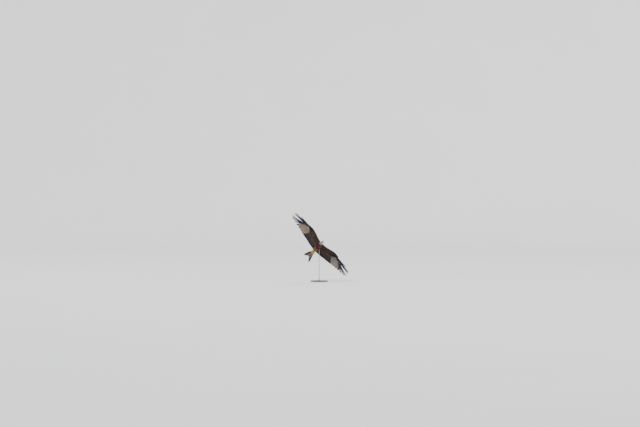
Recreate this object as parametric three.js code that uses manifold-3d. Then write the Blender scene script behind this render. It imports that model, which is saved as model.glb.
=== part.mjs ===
// Red kite in banking flight, life size, on a plain display stand.
// Millimetres, +Z up. The origin is the centre of the base's underside.
// The bird is shaped in its own frame and then turned as one group:
// x runs to the bill, y to the bird's left wing, z to its back.
import * as THREE from 'three';
import { mergeVertices } from 'three/addons/utils/BufferGeometryUtils.js';
import Module from 'manifold-3d';

const wasm = await Module();
wasm.setup();

// How the bird hangs: degrees of climb, and the height of the body's middle over the floor
const GAP = 0.3;
const CLIMB = 28;
const BODY_HEIGHT = 720;

// Stand. The rod's top is a place in the bird's frame.
const ROD_TOP = [15, 5, 5];
const ROD_RADIUS = 6;
const BASE_RADIUS = 180;
const BASE_THICKNESS = 26;
const BASE_DRAFT = 4;
const COLLAR_RADIUS = 17;
const COLLAR_HEIGHT = 22;
const COLLAR_SHOULDER = 13;
const COLLAR_LIP = 4;
const ROD_SIDES = 16;
const BASE_SIDES = 48;

// Body sections along x: half width, height above the axis, depth below it
const BODY_STATIONS = [
  [-172, 27, 17, 13],
  [-140, 34, 24, 22],
  [-100, 43, 33, 36],
  [-55, 52, 43, 51],
  [-10, 58, 49, 61],
  [35, 57, 49, 60],
  [70, 49, 44, 48],
  [96, 38, 37, 33],
  [118, 30, 31, 24],
];
const RING_POINTS = 20;
const TAIL_FACE = -160;
const NECK_FACE = 82;
const HEAD_FACE = 103;
const BODY_STEPS = 11;
const NECK_STEPS = 3;
const TURN_START = -10;
const TURN_SLOPE = 0.06;

// Head: where its own frame stands, and sections of x, half width, height and depth
const HEAD_AT = [129, -9, 7];
const HEAD_PITCH = 5;
const HEAD_TURN = -3;
const HEAD_SECTIONS = [
  [-14, 26, 25, 24],
  [0, 24.5, 24, 20],
  [12, 21, 21, 16],
  [22, 15.5, 16, 13.5],
  [29, 10.5, 11, 11],
  [33, 8.5, 8.5, 9],
];
const BILL_POINTS = 12;
const GAPE_HEIGHT = -3.2;
const CERE_SECTIONS = [[33 + GAP, 8.3, 8.5, 9], [37, 7.6, 8, 8.6], [42, 6.4, 7, 8]];
const UPPER_BILL_SECTIONS = [[42 + GAP, 6.4, 7, 8], [48, 5.2, 5.8, 7], [53, 3.8, 3.4, 6], [56, 2.2, 0.6, 5]];
const LOWER_BILL_SECTIONS = [[33 + GAP, 7.4, 7, 9], [42, 5.8, 6, 8.2], [50, 3.2, 5, 7.2]];
const HOOK_SECTIONS = [[49, 4.6, 1, -1], [52, 4.2, 3, 4], [55.5, 2.8, 0, 8], [57.6, 1.2, -4, 11]];

// Face, in the head's frame. Each place is for the left side and is mirrored.
const EYE_RADIUS = 6.3;
const EYE_AT = [15.5, 13.2, 6.2];
const EYE_DETAIL = [10, 8];
const SMALL_DETAIL = [8, 6];
const LID_DETAIL = [5, 12];
const BROW = { at: [16.5, 14.6, 12.4], radii: [9, 3.6, 2.3] };
const LID = { at: [15.8, 17.4, 6.6], ring: 5.7, thickness: 1.1, tilt: -80 };
const NOSTRIL = { at: [38.5, 7.4, 2.6], radii: [2, 1.6, 1.2] };
const MOUTH_LINE = { at: [29, 0, GAPE_HEIGHT], size: [11, 40, 0.8] };

// Each wing's pose. Places are pairs of distance out from the middle and x or height.
const WINGS = {
  left: {
    side: 1,
    leading: [[30, 98], [60, 97], [107, 99], [177, 113], [248, 131], [330, 144], [380, 140], [440, 118],
      [540, 90], [678, 75], [826, 30]],
    lift: [[30, 22], [120, 31], [250, 39], [350, 43], [480, 43], [620, 42], [730, 44], [830, 50]],
    bones: [[46, 52], [182, 50], [328, 118], [440, 101]],
    handSweep: 6.5,
  },
  right: {
    side: -1,
    leading: [[30, 99], [60, 101], [107, 109], [146, 121], [240, 152], [314, 170], [380, 171], [440, 163],
      [540, 158], [674, 160], [826, 130]],
    lift: [[30, 24], [120, 37], [220, 49], [316, 58], [430, 65], [560, 66], [700, 66], [830, 72]],
    bones: [[46, 52], [181, 66], [318, 149], [434, 151]],
    handSweep: -1,
  },
};
const CAMBER = 12;
const CAMBER_CHORD = 260;
const CAMBER_POWER = 1.5;
const ELBOW_CUT = 88.5;
const WRIST_CUT = 61;

// Arm section: part of the chord from the leading edge and height, over the top and back underneath
const ARM_SECTION = [[0, 1.2], [0.07, 5.2], [0.25, 9.5], [0.5, 11.2], [0.78, 10.4], [1, 6.6],
  [1, -6.6], [0.74, -9.8], [0.4, -9.2], [0.12, -5.6], [0, -1.8]];
const ARM_OUTS = [24, 60, 96, 136, 182, 228, 275];
const HAND_PARTS = [0, 0.2, 0.46, 0.72, 1.05];
const HAND_THINNING = 0.38;
const ARM_BEHIND_BONE = 15;
const HAND_BEHIND_BONE = 9;

// Feather layers: height over the wing's middle surface
const FEATHER_THICKNESS = 0.8;
const LAP = 1.45;
const NARROWEST_SPACING = 5;
const GREATER_LEVEL = 4.6;
const MEDIAN_LEVEL = 9;
const HAND_MEDIAN_LEVEL = 8.5;
const ALULA_LEVEL = 14.2;

// Primaries from the innermost to the outermost: length, angle back from straight out, and upward curl
const PRIMARY_LENGTHS = [254, 266, 294, 336, 388, 444, 458, 424, 388, 252];
const PRIMARY_ANGLES = [58, 48.5, 39, 30.5, 24.5, 19.8, 16, 7.5, 3.6, -2.5];
const FINGER_CURL = [0, 0, 0, 0, 5, 15, 19, 24, 18, 1];
const CURL_START = 0.54;
const CURL_POWER = 1.5;
const OUTER_WEBS = [15, 13.5, 12, 10.5, 8.7, 8.4, 8, 7.6, 7.3, 7];
const INNER_WEBS = [39, 36, 33, 30, 25, 24, 23, 22, 21, 20];
const FIRST_FINGER = 4;
const HAND_FAN = 9;
const HAND_FAN_MIDDLE = 0.45;
const SWEEP_RISE = 2.2;

// The other rows. The part of each bone that bears feathers starts and ends these lengths from its joints.
const BONE_MARGINS = { upper_arm: [16, 8], forearm: [5, 5], hand: [5, 4] };
const UPPER_ARM_ANGLES = [92, 89];
const FOREARM_ANGLES = [88, 64];
const FOREARM_TURN_POWER = 1.5;
const LENGTH_POWER = 1.4;
const TERTIAL_ROW = { count: 5, lengths: [198, 194], webs: [16, 27] };
const SECONDARY_ROW = { count: 13, lengths: [195, 251], webs: [10, 26] };

// Coverts on each face of a part: a row of greater ones, and over it a row of median ones set forward
const COVERT_ROWS = {
  upper_arm: [
    { count: 4, lengths: [96, 92], webs: [16, 24], level: GREATER_LEVEL },
    { count: 4, lengths: [62, 62], webs: [17, 20], level: MEDIAN_LEVEL, forward: 12 },
  ],
  forearm: [
    { count: 8, lengths: [90, 96], webs: [11, 18], level: GREATER_LEVEL },
    { count: 6, lengths: [60, 58], webs: [14, 19], level: MEDIAN_LEVEL, forward: 13 },
  ],
  hand: [
    { count: 6, lengths: [96, 104], webs: [9, 17], level: GREATER_LEVEL, reach: 0.84 },
    { count: 4, lengths: [60, 52], webs: [11, 17], level: HAND_MEDIAN_LEVEL, forward: 5, reach: 0.9 },
  ],
};

// Outline of a feather along its length: part of the length, share of the outer and the inner web
const BLADE = [[0, 0.2, 0.12], [0.26, 0.85, 0.7], [0.84, 1, 0.95], [1, 0.3, 0.35]];
const FINGER = [[0, 0.25, 0.1], [0.14, 0.75, 0.5], [0.36, 1, 1], [0.54, 1, 0.97], [0.66, 0.95, 0.64],
  [0.9, 0.85, 0.54], [1, 0.3, 0.2]];
const COVERT = [[0, 0.5, 0.5], [0.72, 1, 1], [1, 0.35, 0.35]];

// Alula: its feathers and their common root on the thumb. Outs are measured from the wrist.
const ALULA_LENGTHS = [74, 92, 108];
const ALULA_WEBS = [6, 13];
const ALULA_OUT = 12;
const ALULA_EDGE_OUT = 14;
const ALULA_BEHIND_THUMB = 4;
const ALULA_ROOT_STEP = 3;
const ALULA_ANGLE = 9;
const ALULA_ANGLE_STEP = 3.5;
const ALULA_SWEEP = 0.8;
const THUMB_BEHIND_EDGE = 13;
const THUMB_HEIGHT = 10.5;
const THUMB_ENDS = [{ out: 8, rise: 0, radius: 4 }, { out: 34, rise: 1.5, radius: 3.2 }];
const THUMB_SIDES = 8;

// Tail fan, and sections of the feathered root: x, half width, height and depth
const TAIL_PAIRS = 6;
const TAIL_ROOT = -167;
const TAIL_ROOT_HALF = 27;
const TAIL_SPREAD = 19.3;
const TAIL_INNER_LENGTH = 168;
const TAIL_OUTER_LENGTH = 252;
const TAIL_FORK_POWER = 1.25;
const TAIL_OUTER_WEBS = [19, 11];
const TAIL_INNER_WEBS = [19, 30];
const TAIL_TWIST = 26;
const TAIL_PITCH = -4.7;
const TAIL_ARCH = 1.2;
const TAIL_TOP_LEVEL = 2;
const TAIL_ROOT_POINTS = 16;
const TAIL_ROOT_END = -204;
const TAIL_ROOT_SECTIONS = [[TAIL_FACE - GAP, 29, 18.5, 15.5], [-172, 31, 15.5, 13.5], [-188, 33, 10, 11],
  [TAIL_ROOT_END, 31, 4.5, 8.5]];
const TAIL_COVERTS = {
  upper: { face: 1, count: 7, long: 74, lowest: 3.6, web: 10 },
  under: { face: -1, count: 5, long: 92, lowest: 6.6, web: 14 },
};
const TAIL_COVERT_ROOT = 0.85;
const TAIL_COVERT_SPREAD = 0.8;
const TAIL_COVERT_SHORTENING = 0.12;

// Legs, tucked back. Limb sections: x, distance out, z, half width and half height.
const THIGH = [[-12, 31, -34, 9, 9], [-30, 31, -36, 17, 18], [-62, 31, -40, 19, 21], [-98, 26, -44, 12, 13],
  [-116, 23, -44, 6, 7]];
const TARSUS = [[-116 - GAP, 23, -44, 4.4, 4.8], [-140, 21, -42, 3.6, 4], [-162, 19, -38, 4.6, 4.4]];
const SOLE = [[-162 - GAP, 19, -38, 5, 5], [-168, 18.5, -38.5, 7.5, 6], [-176, 18, -40, 7, 4.5]];

// Three front toes and the hind toe of one clenched foot. Stops: x, distance out, z, radius.
const TOE_SPREAD = 7;
const FRONT_TOES = [-1, 0, 1].map((order) => order * TOE_SPREAD).map((aside) => ({
  toe: [[-166, 18 + aside / 2, -40, 3.2], [-181, 18 + aside, -41, 3], [-188, 18 + aside, -46, 2.7]],
  claw: [[-190.5, 18 + aside, -55, 1.5], [-186.5, 18 + aside, -60.5, 0.6]],
}));
const HIND_TOE = {
  toe: [[-166, 15, -41, 3.2], [-170, 11.5, -48, 3], [-175, 11, -51, 2.7]],
  claw: [[-183, 11, -52.5, 1.6], [-188, 11, -49, 0.6]],
};
const TOES = [...FRONT_TOES, HIND_TOE];
const CLAW_ROOT_RADIUS = 2.3;
const CLAW_ROOT_LENGTH = 2.5;
const THIGH_SIDES = 12;
const SHANK_SIDES = 8;
const TOE_SIDES = 6;

const degrees = (angle) => THREE.MathUtils.degToRad(angle);
const mix = THREE.MathUtils.lerp;

// A smooth curve through a few knots
function curveThrough(knots) {
  const slope = (i) => {
    const a = knots[Math.max(i - 1, 0)];
    const b = knots[Math.min(i + 1, knots.length - 1)];
    return (b[1] - a[1]) / (b[0] - a[0]);
  };
  return (x) => {
    let i = 0;
    while (i < knots.length - 2 && x > knots[i + 1][0]) i += 1;
    const [x0, y0] = knots[i];
    const [x1, y1] = knots[i + 1];
    const span = x1 - x0;
    const t = THREE.MathUtils.clamp((x - x0) / span, 0, 1);
    const bend = t * (1 - t);
    const start = slope(i) * span;
    const end = slope(i + 1) * span;
    return y0 + (y1 - y0) * t * t * (3 - 2 * t) + bend * ((1 - t) * start - t * end);
  };
}

// The value at a share of the way through a list
function between(list, share) {
  const place = THREE.MathUtils.clamp(share, 0, 1) * (list.length - 1);
  const low = Math.min(Math.floor(place), list.length - 2);
  return mix(list[low], list[low + 1], place - low);
}

// A closed solid from points and triangles, turned so that its faces point out
function solidFrom(points, triangles) {
  let volume = 0;
  for (let i = 0; i < triangles.length; i += 3) {
    const [a, b, c] = [points[triangles[i]], points[triangles[i + 1]], points[triangles[i + 2]]];
    volume += a.dot(new THREE.Vector3().crossVectors(b, c));
  }
  const triVerts = volume > 0 ? triangles : triangles.slice().reverse();
  return new wasm.Manifold(new wasm.Mesh({
    numProp: 3,
    vertProperties: new Float32Array(points.flatMap((p) => [p.x, p.y, p.z])),
    triVerts: new Uint32Array(triVerts),
  }));
}

// A closed solid over rings of points
function solidOverRings(rings) {
  const count = rings[0].length;
  const triangles = [];
  for (let r = 0; r < rings.length - 1; r += 1) {
    for (let i = 0; i < count; i += 1) {
      const a = r * count + i;
      const b = r * count + ((i + 1) % count);
      triangles.push(a, b, b + count, a, b + count, a + count);
    }
  }
  const last = (rings.length - 1) * count;
  for (let i = 1; i < count - 1; i += 1) {
    triangles.push(0, i + 1, i, last, last + i, last + i + 1);
  }
  return solidFrom(rings.flat(), triangles);
}

// A thin strip over four-point stations, split into triangles alike on its two faces
function stripOver(stations) {
  const triangles = [];
  for (let r = 0; r < stations.length - 1; r += 1) {
    const [a0, a1, a2, a3] = [4 * r, 4 * r + 1, 4 * r + 2, 4 * r + 3];
    const [b0, b1, b2, b3] = [a0 + 4, a1 + 4, a2 + 4, a3 + 4];
    triangles.push(a0, a1, b1, a0, b1, b0, a3, b2, a2, a3, b3, b2);
    triangles.push(a1, a2, b2, a1, b2, b1, a3, a0, b0, a3, b0, b3);
  }
  const last = 4 * (stations.length - 1);
  triangles.push(0, 3, 2, 0, 2, 1, last, last + 1, last + 2, last, last + 2, last + 3);
  return solidFrom(stations.flat(), triangles);
}

// A solid from a closed geometry, after a placing matrix
function solidFromGeometry(geometry, placing = new THREE.Matrix4()) {
  const bare = geometry.clone();
  bare.deleteAttribute('normal');
  bare.deleteAttribute('uv');
  bare.applyMatrix4(placing);
  const merged = mergeVertices(bare, 1e-4);
  const position = merged.attributes.position;
  const points = Array.from({ length: position.count }, (_, i) => (
    new THREE.Vector3().fromBufferAttribute(position, i)));
  return solidFrom(points, Array.from(merged.index.array));
}

function ellipsoid(centre, radii, detail) {
  const placing = new THREE.Matrix4().compose(
    new THREE.Vector3(...centre), new THREE.Quaternion(), new THREE.Vector3(...radii));
  return solidFromGeometry(new THREE.SphereGeometry(1, ...detail), placing);
}

// A round bar with a radius at each of its points
function bar(stops, sides) {
  const rings = stops.map(([x, y, z, radius], i) => {
    const before = new THREE.Vector3(...stops[Math.max(i - 1, 0)].slice(0, 3));
    const after = new THREE.Vector3(...stops[Math.min(i + 1, stops.length - 1)].slice(0, 3));
    const along = after.sub(before).normalize();
    const up = Math.abs(along.z) > 0.9 ? new THREE.Vector3(1, 0, 0) : new THREE.Vector3(0, 0, 1);
    const across = new THREE.Vector3().crossVectors(up, along).normalize();
    const other = new THREE.Vector3().crossVectors(along, across);
    const centre = new THREE.Vector3(x, y, z);
    return Array.from({ length: sides }, (_, k) => {
      const angle = (2 * Math.PI * k) / sides;
      return centre.clone().addScaledVector(across, radius * Math.cos(angle))
        .addScaledVector(other, radius * Math.sin(angle));
    });
  });
  return solidOverRings(rings);
}

// A limb laid along the body: rings across x, each with its centre, half width and half height
function alongBody(stops, side, sides) {
  return solidOverRings(stops.map(([x, out, z, half, rise]) => Array.from({ length: sides }, (_, k) => {
    const angle = (2 * Math.PI * k) / sides;
    return new THREE.Vector3(x, side * out + half * Math.cos(angle), z + rise * Math.sin(angle));
  })));
}

function largest(solid) {
  const pieces = solid.decompose();
  return pieces.reduce((best, piece) => (piece.volume() > best.volume() ? piece : best));
}

function joined(solids) {
  return solids.reduce((whole, solid) => whole.add(solid));
}

function finish(name, colour, roughness = 0.8, metalness = 0) {
  return (solid) => {
    const data = largest(solid).getMesh();
    const geometry = new THREE.BufferGeometry();
    geometry.setAttribute('position', new THREE.BufferAttribute(new Float32Array(data.vertProperties), 3));
    geometry.setIndex(new THREE.BufferAttribute(new Uint32Array(data.triVerts), 1));
    const material = new THREE.MeshStandardMaterial({ color: colour, roughness, metalness });
    const mesh = new THREE.Mesh(geometry, material);
    mesh.name = name;
    return mesh;
  };
}

// A row of feathers laid like roof slats: each one's outer edge lies over the next one's inner edge.
// Plan points are pairs of x and distance out. place() puts a plan point at a height into the bird.
function featherRow({ count, root, angle, length, webs, outline, level, surface, place, curl = () => 0 }) {
  const point = (k, t) => {
    const [x, out] = root(k);
    const back = degrees(angle(k));
    return [x - Math.sin(back) * length(k) * t, out + Math.cos(back) * length(k) * t];
  };
  const across = (k) => [Math.cos(degrees(angle(k))), Math.sin(degrees(angle(k)))];
  const spacing = (k, step, t) => {
    if (k + step < 0 || k + step >= count) return Infinity;
    const [x, out] = point(k, t);
    const [nx, nOut] = point(k + step, t);
    return Math.abs((nx - x) * across(k)[0] + (nOut - out) * across(k)[1]);
  };
  return Array.from({ length: count }, (_, k) => {
    const [outer, inner] = webs(k);
    const half = FEATHER_THICKNESS / 2;
    return stripOver(outline(k).map(([t, outerShare, innerShare]) => {
      const [x, out] = point(k, t);
      const tilt = LAP / Math.max(Math.min(spacing(k, -1, t), spacing(k, 1, t)), NARROWEST_SPACING);
      const raised = level + curl(k) * Math.max((t - CURL_START) / (1 - CURL_START), 0) ** CURL_POWER;
      const edge = (offset, rise) => {
        const [px, pOut] = [x + across(k)[0] * offset, out + across(k)[1] * offset];
        return place(px, pOut, surface(px, pOut) + raised + tilt * offset + rise);
      };
      return [edge(outer * outerShare, half), edge(-inner * innerShare, half),
        edge(-inner * innerShare, -half), edge(outer * outerShare, -half)];
    }));
  });
}

// Body: one loft from the neck to the root of the tail, with a slight turn to the right
const bodyHalf = curveThrough(BODY_STATIONS.map((s) => [s[0], s[1]]));
const bodyTop = curveThrough(BODY_STATIONS.map((s) => [s[0], s[2]]));
const bodyDepth = curveThrough(BODY_STATIONS.map((s) => [s[0], s[3]]));
const bodyShift = (x) => -TURN_SLOPE * Math.max(x - TURN_START, 0);

function bodyRing(x, grow = 0) {
  const half = bodyHalf(x) + grow;
  return Array.from({ length: RING_POINTS }, (_, k) => {
    const angle = (2 * Math.PI * k) / RING_POINTS;
    const height = Math.sin(angle) > 0 ? bodyTop(x) + grow : bodyDepth(x) + grow;
    return new THREE.Vector3(x, bodyShift(x) + half * Math.cos(angle), height * Math.sin(angle));
  });
}

function bodyLoft(from, to, steps, grow = 0) {
  const rings = Array.from({ length: steps + 1 }, (_, i) => bodyRing(mix(from, to, i / steps), grow));
  return solidOverRings(rings);
}

const torsoSolid = bodyLoft(TAIL_FACE + GAP, NECK_FACE, BODY_STEPS);
const neckSolid = bodyLoft(NECK_FACE + GAP, HEAD_FACE, NECK_STEPS);
const bodyGrown = bodyLoft(TAIL_FACE + GAP, NECK_FACE, BODY_STEPS, GAP)
  .add(bodyLoft(NECK_FACE, HEAD_FACE, NECK_STEPS, GAP));

// Wing: the arm is a slab along the bones, and the feathers spring from its back edge
function wingFrame(pose) {
  const front = curveThrough(pose.leading);
  const lift = curveThrough(pose.lift);
  const surface = (x, out) => {
    const back = Math.max(front(out) - x, 0) / CAMBER_CHORD;
    return lift(out) - CAMBER * back ** CAMBER_POWER;
  };
  const place = (x, out, z) => new THREE.Vector3(x, pose.side * out, z);
  const [shoulder, elbow, wrist, tip] = pose.bones;
  const bone = (out) => {
    const [a, b] = out < elbow[0] ? [shoulder, elbow] : out < wrist[0] ? [elbow, wrist] : [wrist, tip];
    return mix(a[1], b[1], (out - a[0]) / (b[0] - a[0]));
  };
  return { front, surface, place, bone, shoulder, elbow, wrist, tip };
}

function armSlab(wing, grow = 0) {
  const { front, surface, place, bone, wrist, tip } = wing;
  const outs = [...ARM_OUTS, ...HAND_PARTS.map((part) => mix(wrist[0], tip[0], part))];
  return solidOverRings(outs.map((out) => {
    const share = Math.max(out - wrist[0], 0) / (tip[0] - wrist[0]);
    const thin = 1 - HAND_THINNING * share;
    const chord = front(out) - bone(out) + mix(ARM_BEHIND_BONE, HAND_BEHIND_BONE, share);
    return ARM_SECTION.map(([part, rise]) => {
      const end = part === 0 ? grow : part === 1 ? -grow : 0;
      const x = front(out) - part * chord + end;
      return place(x, out, surface(x, out) + rise * thin + Math.sign(rise) * grow);
    });
  }));
}

// The fan of directions runs on without a break from the shoulder to the last primary
function wingRegions(pose, { shoulder, elbow, wrist, tip }) {
  const region = (name, start, end, fan, angle) => {
    const [atStart, atEnd] = BONE_MARGINS[name];
    return { from: start[0] + atStart, to: end[0] - atEnd, fan, angle };
  };
  const handAngle = (share) => (
    between(PRIMARY_ANGLES, share) + pose.handSweep * Math.min(share * SWEEP_RISE, 1));
  return {
    upper_arm: region('upper_arm', shoulder, elbow, 0, (share) => mix(...UPPER_ARM_ANGLES, share)),
    forearm: region('forearm', elbow, wrist, 0, (share) => (
      mix(...FOREARM_ANGLES, share ** FOREARM_TURN_POWER))),
    hand: region('hand', wrist, tip, HAND_FAN, handAngle),
  };
}

// Flight feathers, and two tiers of coverts on each face.
// Lengths run from the inner to the outer end of a tier.
function wingFeathers(pose, wing) {
  const { bone, surface, place } = wing;
  const regions = wingRegions(pose, wing);
  const tier = (region, row) => {
    const { from, to, angle, fan } = regions[region];
    const { count, lengths, webs, level = 0, forward = 0, reach = 1, outline = COVERT } = row;
    const share = (k) => (reach * k) / (count - 1);
    return featherRow({
      count,
      surface,
      place,
      level,
      outline: () => outline,
      root: (k) => {
        const out = mix(from, to, share(k));
        return [bone(out) + forward + fan * (share(k) - HAND_FAN_MIDDLE), out];
      },
      angle: (k) => angle(share(k)),
      length: (k) => mix(...lengths, share(k) ** LENGTH_POWER),
      webs: () => webs,
      ...row.each,
    });
  };
  const primaries = {
    length: (k) => PRIMARY_LENGTHS[k],
    webs: (k) => [OUTER_WEBS[k], INNER_WEBS[k]],
    outline: (k) => (k < FIRST_FINGER ? BLADE : FINGER),
    curl: (k) => FINGER_CURL[k],
  };
  const flight = {
    upper_arm: { ...TERTIAL_ROW, outline: BLADE },
    forearm: { ...SECONDARY_ROW, outline: BLADE },
    hand: { count: PRIMARY_LENGTHS.length, each: primaries },
  };
  const coverts = (region) => [1, -1].flatMap((face) => (
    COVERT_ROWS[region].flatMap((row) => tier(region, { ...row, level: face * row.level }))));
  return Object.fromEntries(Object.entries(flight).map(([region, row]) => (
    [region, [...tier(region, row), ...coverts(region)]])));
}

// A vertical cut through the wing: keeps the inner or the outer side, half a gap off the plane
function cutAcross(solid, pose, [out, x], angle, keepOuter) {
  const back = degrees(angle);
  const normal = new THREE.Vector3(Math.cos(back), pose.side * Math.sin(back), 0);
  const offset = normal.x * x + normal.y * pose.side * out;
  return keepOuter
    ? solid.trimByPlane(normal.toArray(), offset + GAP / 2)
    : solid.trimByPlane(normal.clone().negate().toArray(), GAP / 2 - offset);
}

// The alula: small feathers on the thumb, on top of the hand's leading edge
function alulaSolid(pose, wing) {
  const { front, surface, place, wrist } = wing;
  const thumbEnd = ({ out, rise, radius }) => {
    const x = front(wrist[0] + out) - THUMB_BEHIND_EDGE;
    const spot = place(x, wrist[0] + out, surface(x, wrist[0] + out) + THUMB_HEIGHT + rise);
    return [spot.x, spot.y, spot.z, radius];
  };
  const thumb = bar(THUMB_ENDS.map(thumbEnd), THUMB_SIDES);
  const rootX = front(wrist[0] + ALULA_EDGE_OUT) - THUMB_BEHIND_EDGE - ALULA_BEHIND_THUMB;
  const feathers = featherRow({
    count: ALULA_LENGTHS.length,
    surface,
    place,
    level: ALULA_LEVEL,
    root: (k) => [rootX + ALULA_ROOT_STEP * k, wrist[0] + ALULA_OUT],
    angle: (k) => ALULA_ANGLE + pose.handSweep * ALULA_SWEEP - ALULA_ANGLE_STEP * k,
    length: (k) => ALULA_LENGTHS[k],
    webs: () => ALULA_WEBS,
    outline: () => COVERT,
  });
  return joined([thumb, ...feathers]).subtract(armSlab(wing, GAP));
}

// The parts of one wing, cut apart at the elbow and the wrist
function wingParts(pose) {
  const wing = wingFrame(pose);
  const slab = armSlab(wing);
  const feathers = wingFeathers(pose, wing);
  const atElbow = (solid, keepOuter) => cutAcross(solid, pose, wing.elbow, ELBOW_CUT, keepOuter);
  const atWrist = (solid, keepOuter) => cutAcross(solid, pose, wing.wrist, WRIST_CUT, keepOuter);
  return {
    upper_arm: atElbow(joined([slab, ...feathers.upper_arm]), false).subtract(bodyGrown),
    forearm: atWrist(atElbow(joined([slab, ...feathers.forearm]), true), false),
    hand: atWrist(joined([slab, ...feathers.hand]), true),
    alula: alulaSolid(pose, wing),
  };
}

// Tail: a short feathered root and a forked fan, twisted to steer
const TAIL_AXIS = new THREE.Vector3(1, 0, 0);
function tailPlace(x, out, z, share = 1) {
  const rise = Math.tan(degrees(-TAIL_PITCH)) * (TAIL_FACE - x);
  return new THREE.Vector3(x, out, z).applyAxisAngle(TAIL_AXIS, -degrees(TAIL_TWIST) * share)
    .add(new THREE.Vector3(0, 0, rise));
}

// One tail feather at its height in the stack. A held one stays on its own side of the middle.
function tailStrip({ middle, back, long, webs, outline, height, side, held = false }) {
  const half = FEATHER_THICKNESS / 2;
  return stripOver(outline.map(([t, outerShare, innerShare]) => {
    const x = TAIL_ROOT - Math.cos(back) * long * t;
    const out = middle + side * Math.sin(back) * long * t;
    const edge = (offset, rise) => {
      const across = out + side * offset;
      const kept = held && side * across < GAP / 2 ? (side * GAP) / 2 : across;
      return tailPlace(x + Math.sin(back) * offset, kept, height + rise);
    };
    return [edge(webs[0] * outerShare, half), edge(-webs[1] * innerShare, half),
      edge(-webs[1] * innerShare, -half), edge(webs[0] * outerShare, -half)];
  }));
}

function tailFan(side) {
  return Array.from({ length: TAIL_PAIRS }, (_, pair) => {
    const share = (pair + 0.5) / TAIL_PAIRS;
    const order = pair + (pair > 0 || side < 0 ? 1 : 0);
    return tailStrip({
      side,
      middle: side * TAIL_ROOT_HALF * share,
      back: degrees(TAIL_SPREAD * share),
      long: mix(TAIL_INNER_LENGTH, TAIL_OUTER_LENGTH, (pair / (TAIL_PAIRS - 1)) ** TAIL_FORK_POWER),
      webs: [mix(...TAIL_OUTER_WEBS, share), mix(...TAIL_INNER_WEBS, share)],
      outline: BLADE,
      height: TAIL_TOP_LEVEL - order * TAIL_ARCH,
      held: pair > 0,
    });
  });
}

// Coverts over one face of the fan: the middle one lies on top, and the others step down to each side
function tailCoverts({ face, count, long, lowest, web }) {
  return Array.from({ length: count }, (_, k) => {
    const share = (2 * k) / (count - 1) - 1;
    const order = Math.max(2 * Math.abs(k - (count - 1) / 2) - (share < 0 ? 1 : 0), 0);
    return tailStrip({
      side: Math.sign(share) || 1,
      middle: TAIL_ROOT_HALF * TAIL_COVERT_ROOT * share,
      back: degrees(TAIL_SPREAD * TAIL_COVERT_SPREAD * Math.abs(share)),
      long: long * (1 - TAIL_COVERT_SHORTENING * Math.abs(share)),
      webs: [web, web],
      outline: COVERT,
      height: face * (lowest + TAIL_ARCH * (count - 1 - order)),
    });
  });
}

function tailRoot() {
  return solidOverRings(TAIL_ROOT_SECTIONS.map(([x, half, top, depth]) => {
    const turned = (TAIL_FACE - x) / (TAIL_FACE - TAIL_ROOT_END);
    return Array.from({ length: TAIL_ROOT_POINTS }, (_, k) => {
      const angle = (2 * Math.PI * k) / TAIL_ROOT_POINTS;
      const height = Math.sin(angle) > 0 ? top : depth;
      return tailPlace(x, half * Math.cos(angle), height * Math.sin(angle), turned);
    });
  }));
}

function tailSolid() {
  const coverts = Object.values(TAIL_COVERTS).flatMap(tailCoverts);
  return joined([tailRoot(), ...tailFan(1), ...tailFan(-1), ...coverts]);
}

// Head, bill and eyes in the head's own frame, x to the front
const headPlace = new THREE.Matrix4().compose(new THREE.Vector3(...HEAD_AT),
  new THREE.Quaternion().setFromEuler(new THREE.Euler(0, degrees(HEAD_PITCH), degrees(HEAD_TURN))),
  new THREE.Vector3(1, 1, 1));
const inHead = ([x, y, z], side = 1) => new THREE.Vector3(x, side * y, z).applyMatrix4(headPlace).toArray();
const atHead = (matrix) => headPlace.clone().multiply(matrix);

function headRing([x, half, top, depth], points = RING_POINTS) {
  return Array.from({ length: points }, (_, k) => {
    const angle = (2 * Math.PI * k) / points;
    const height = Math.sin(angle) > 0 ? top : depth;
    return new THREE.Vector3(x, half * Math.cos(angle), height * Math.sin(angle)).applyMatrix4(headPlace);
  });
}

function eyeBall(side, grow = 0) {
  const radius = EYE_RADIUS + grow;
  return ellipsoid(inHead(EYE_AT, side), [radius, radius, radius], EYE_DETAIL);
}

// The head with its brows, lids and mouth line, hollowed for the eyes
function headSolid() {
  const sections = HEAD_SECTIONS.map((section) => headRing(section));
  const skull = solidOverRings([bodyRing(HEAD_FACE + GAP), ...sections]);
  const forms = [1, -1].flatMap((side) => {
    const lidPlace = new THREE.Matrix4().makeRotationX(side * degrees(LID.tilt))
      .setPosition(LID.at[0], side * LID.at[1], LID.at[2]);
    return [
      ellipsoid(inHead(BROW.at, side), BROW.radii, SMALL_DETAIL),
      solidFromGeometry(new THREE.TorusGeometry(LID.ring, LID.thickness, ...LID_DETAIL), atHead(lidPlace)),
    ];
  });
  const mouthLine = solidFromGeometry(new THREE.BoxGeometry(...MOUTH_LINE.size),
    atHead(new THREE.Matrix4().setPosition(...MOUTH_LINE.at)));
  return joined([skull, ...forms]).subtract(mouthLine).subtract(eyeBall(1, GAP)).subtract(eyeBall(-1, GAP));
}

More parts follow.
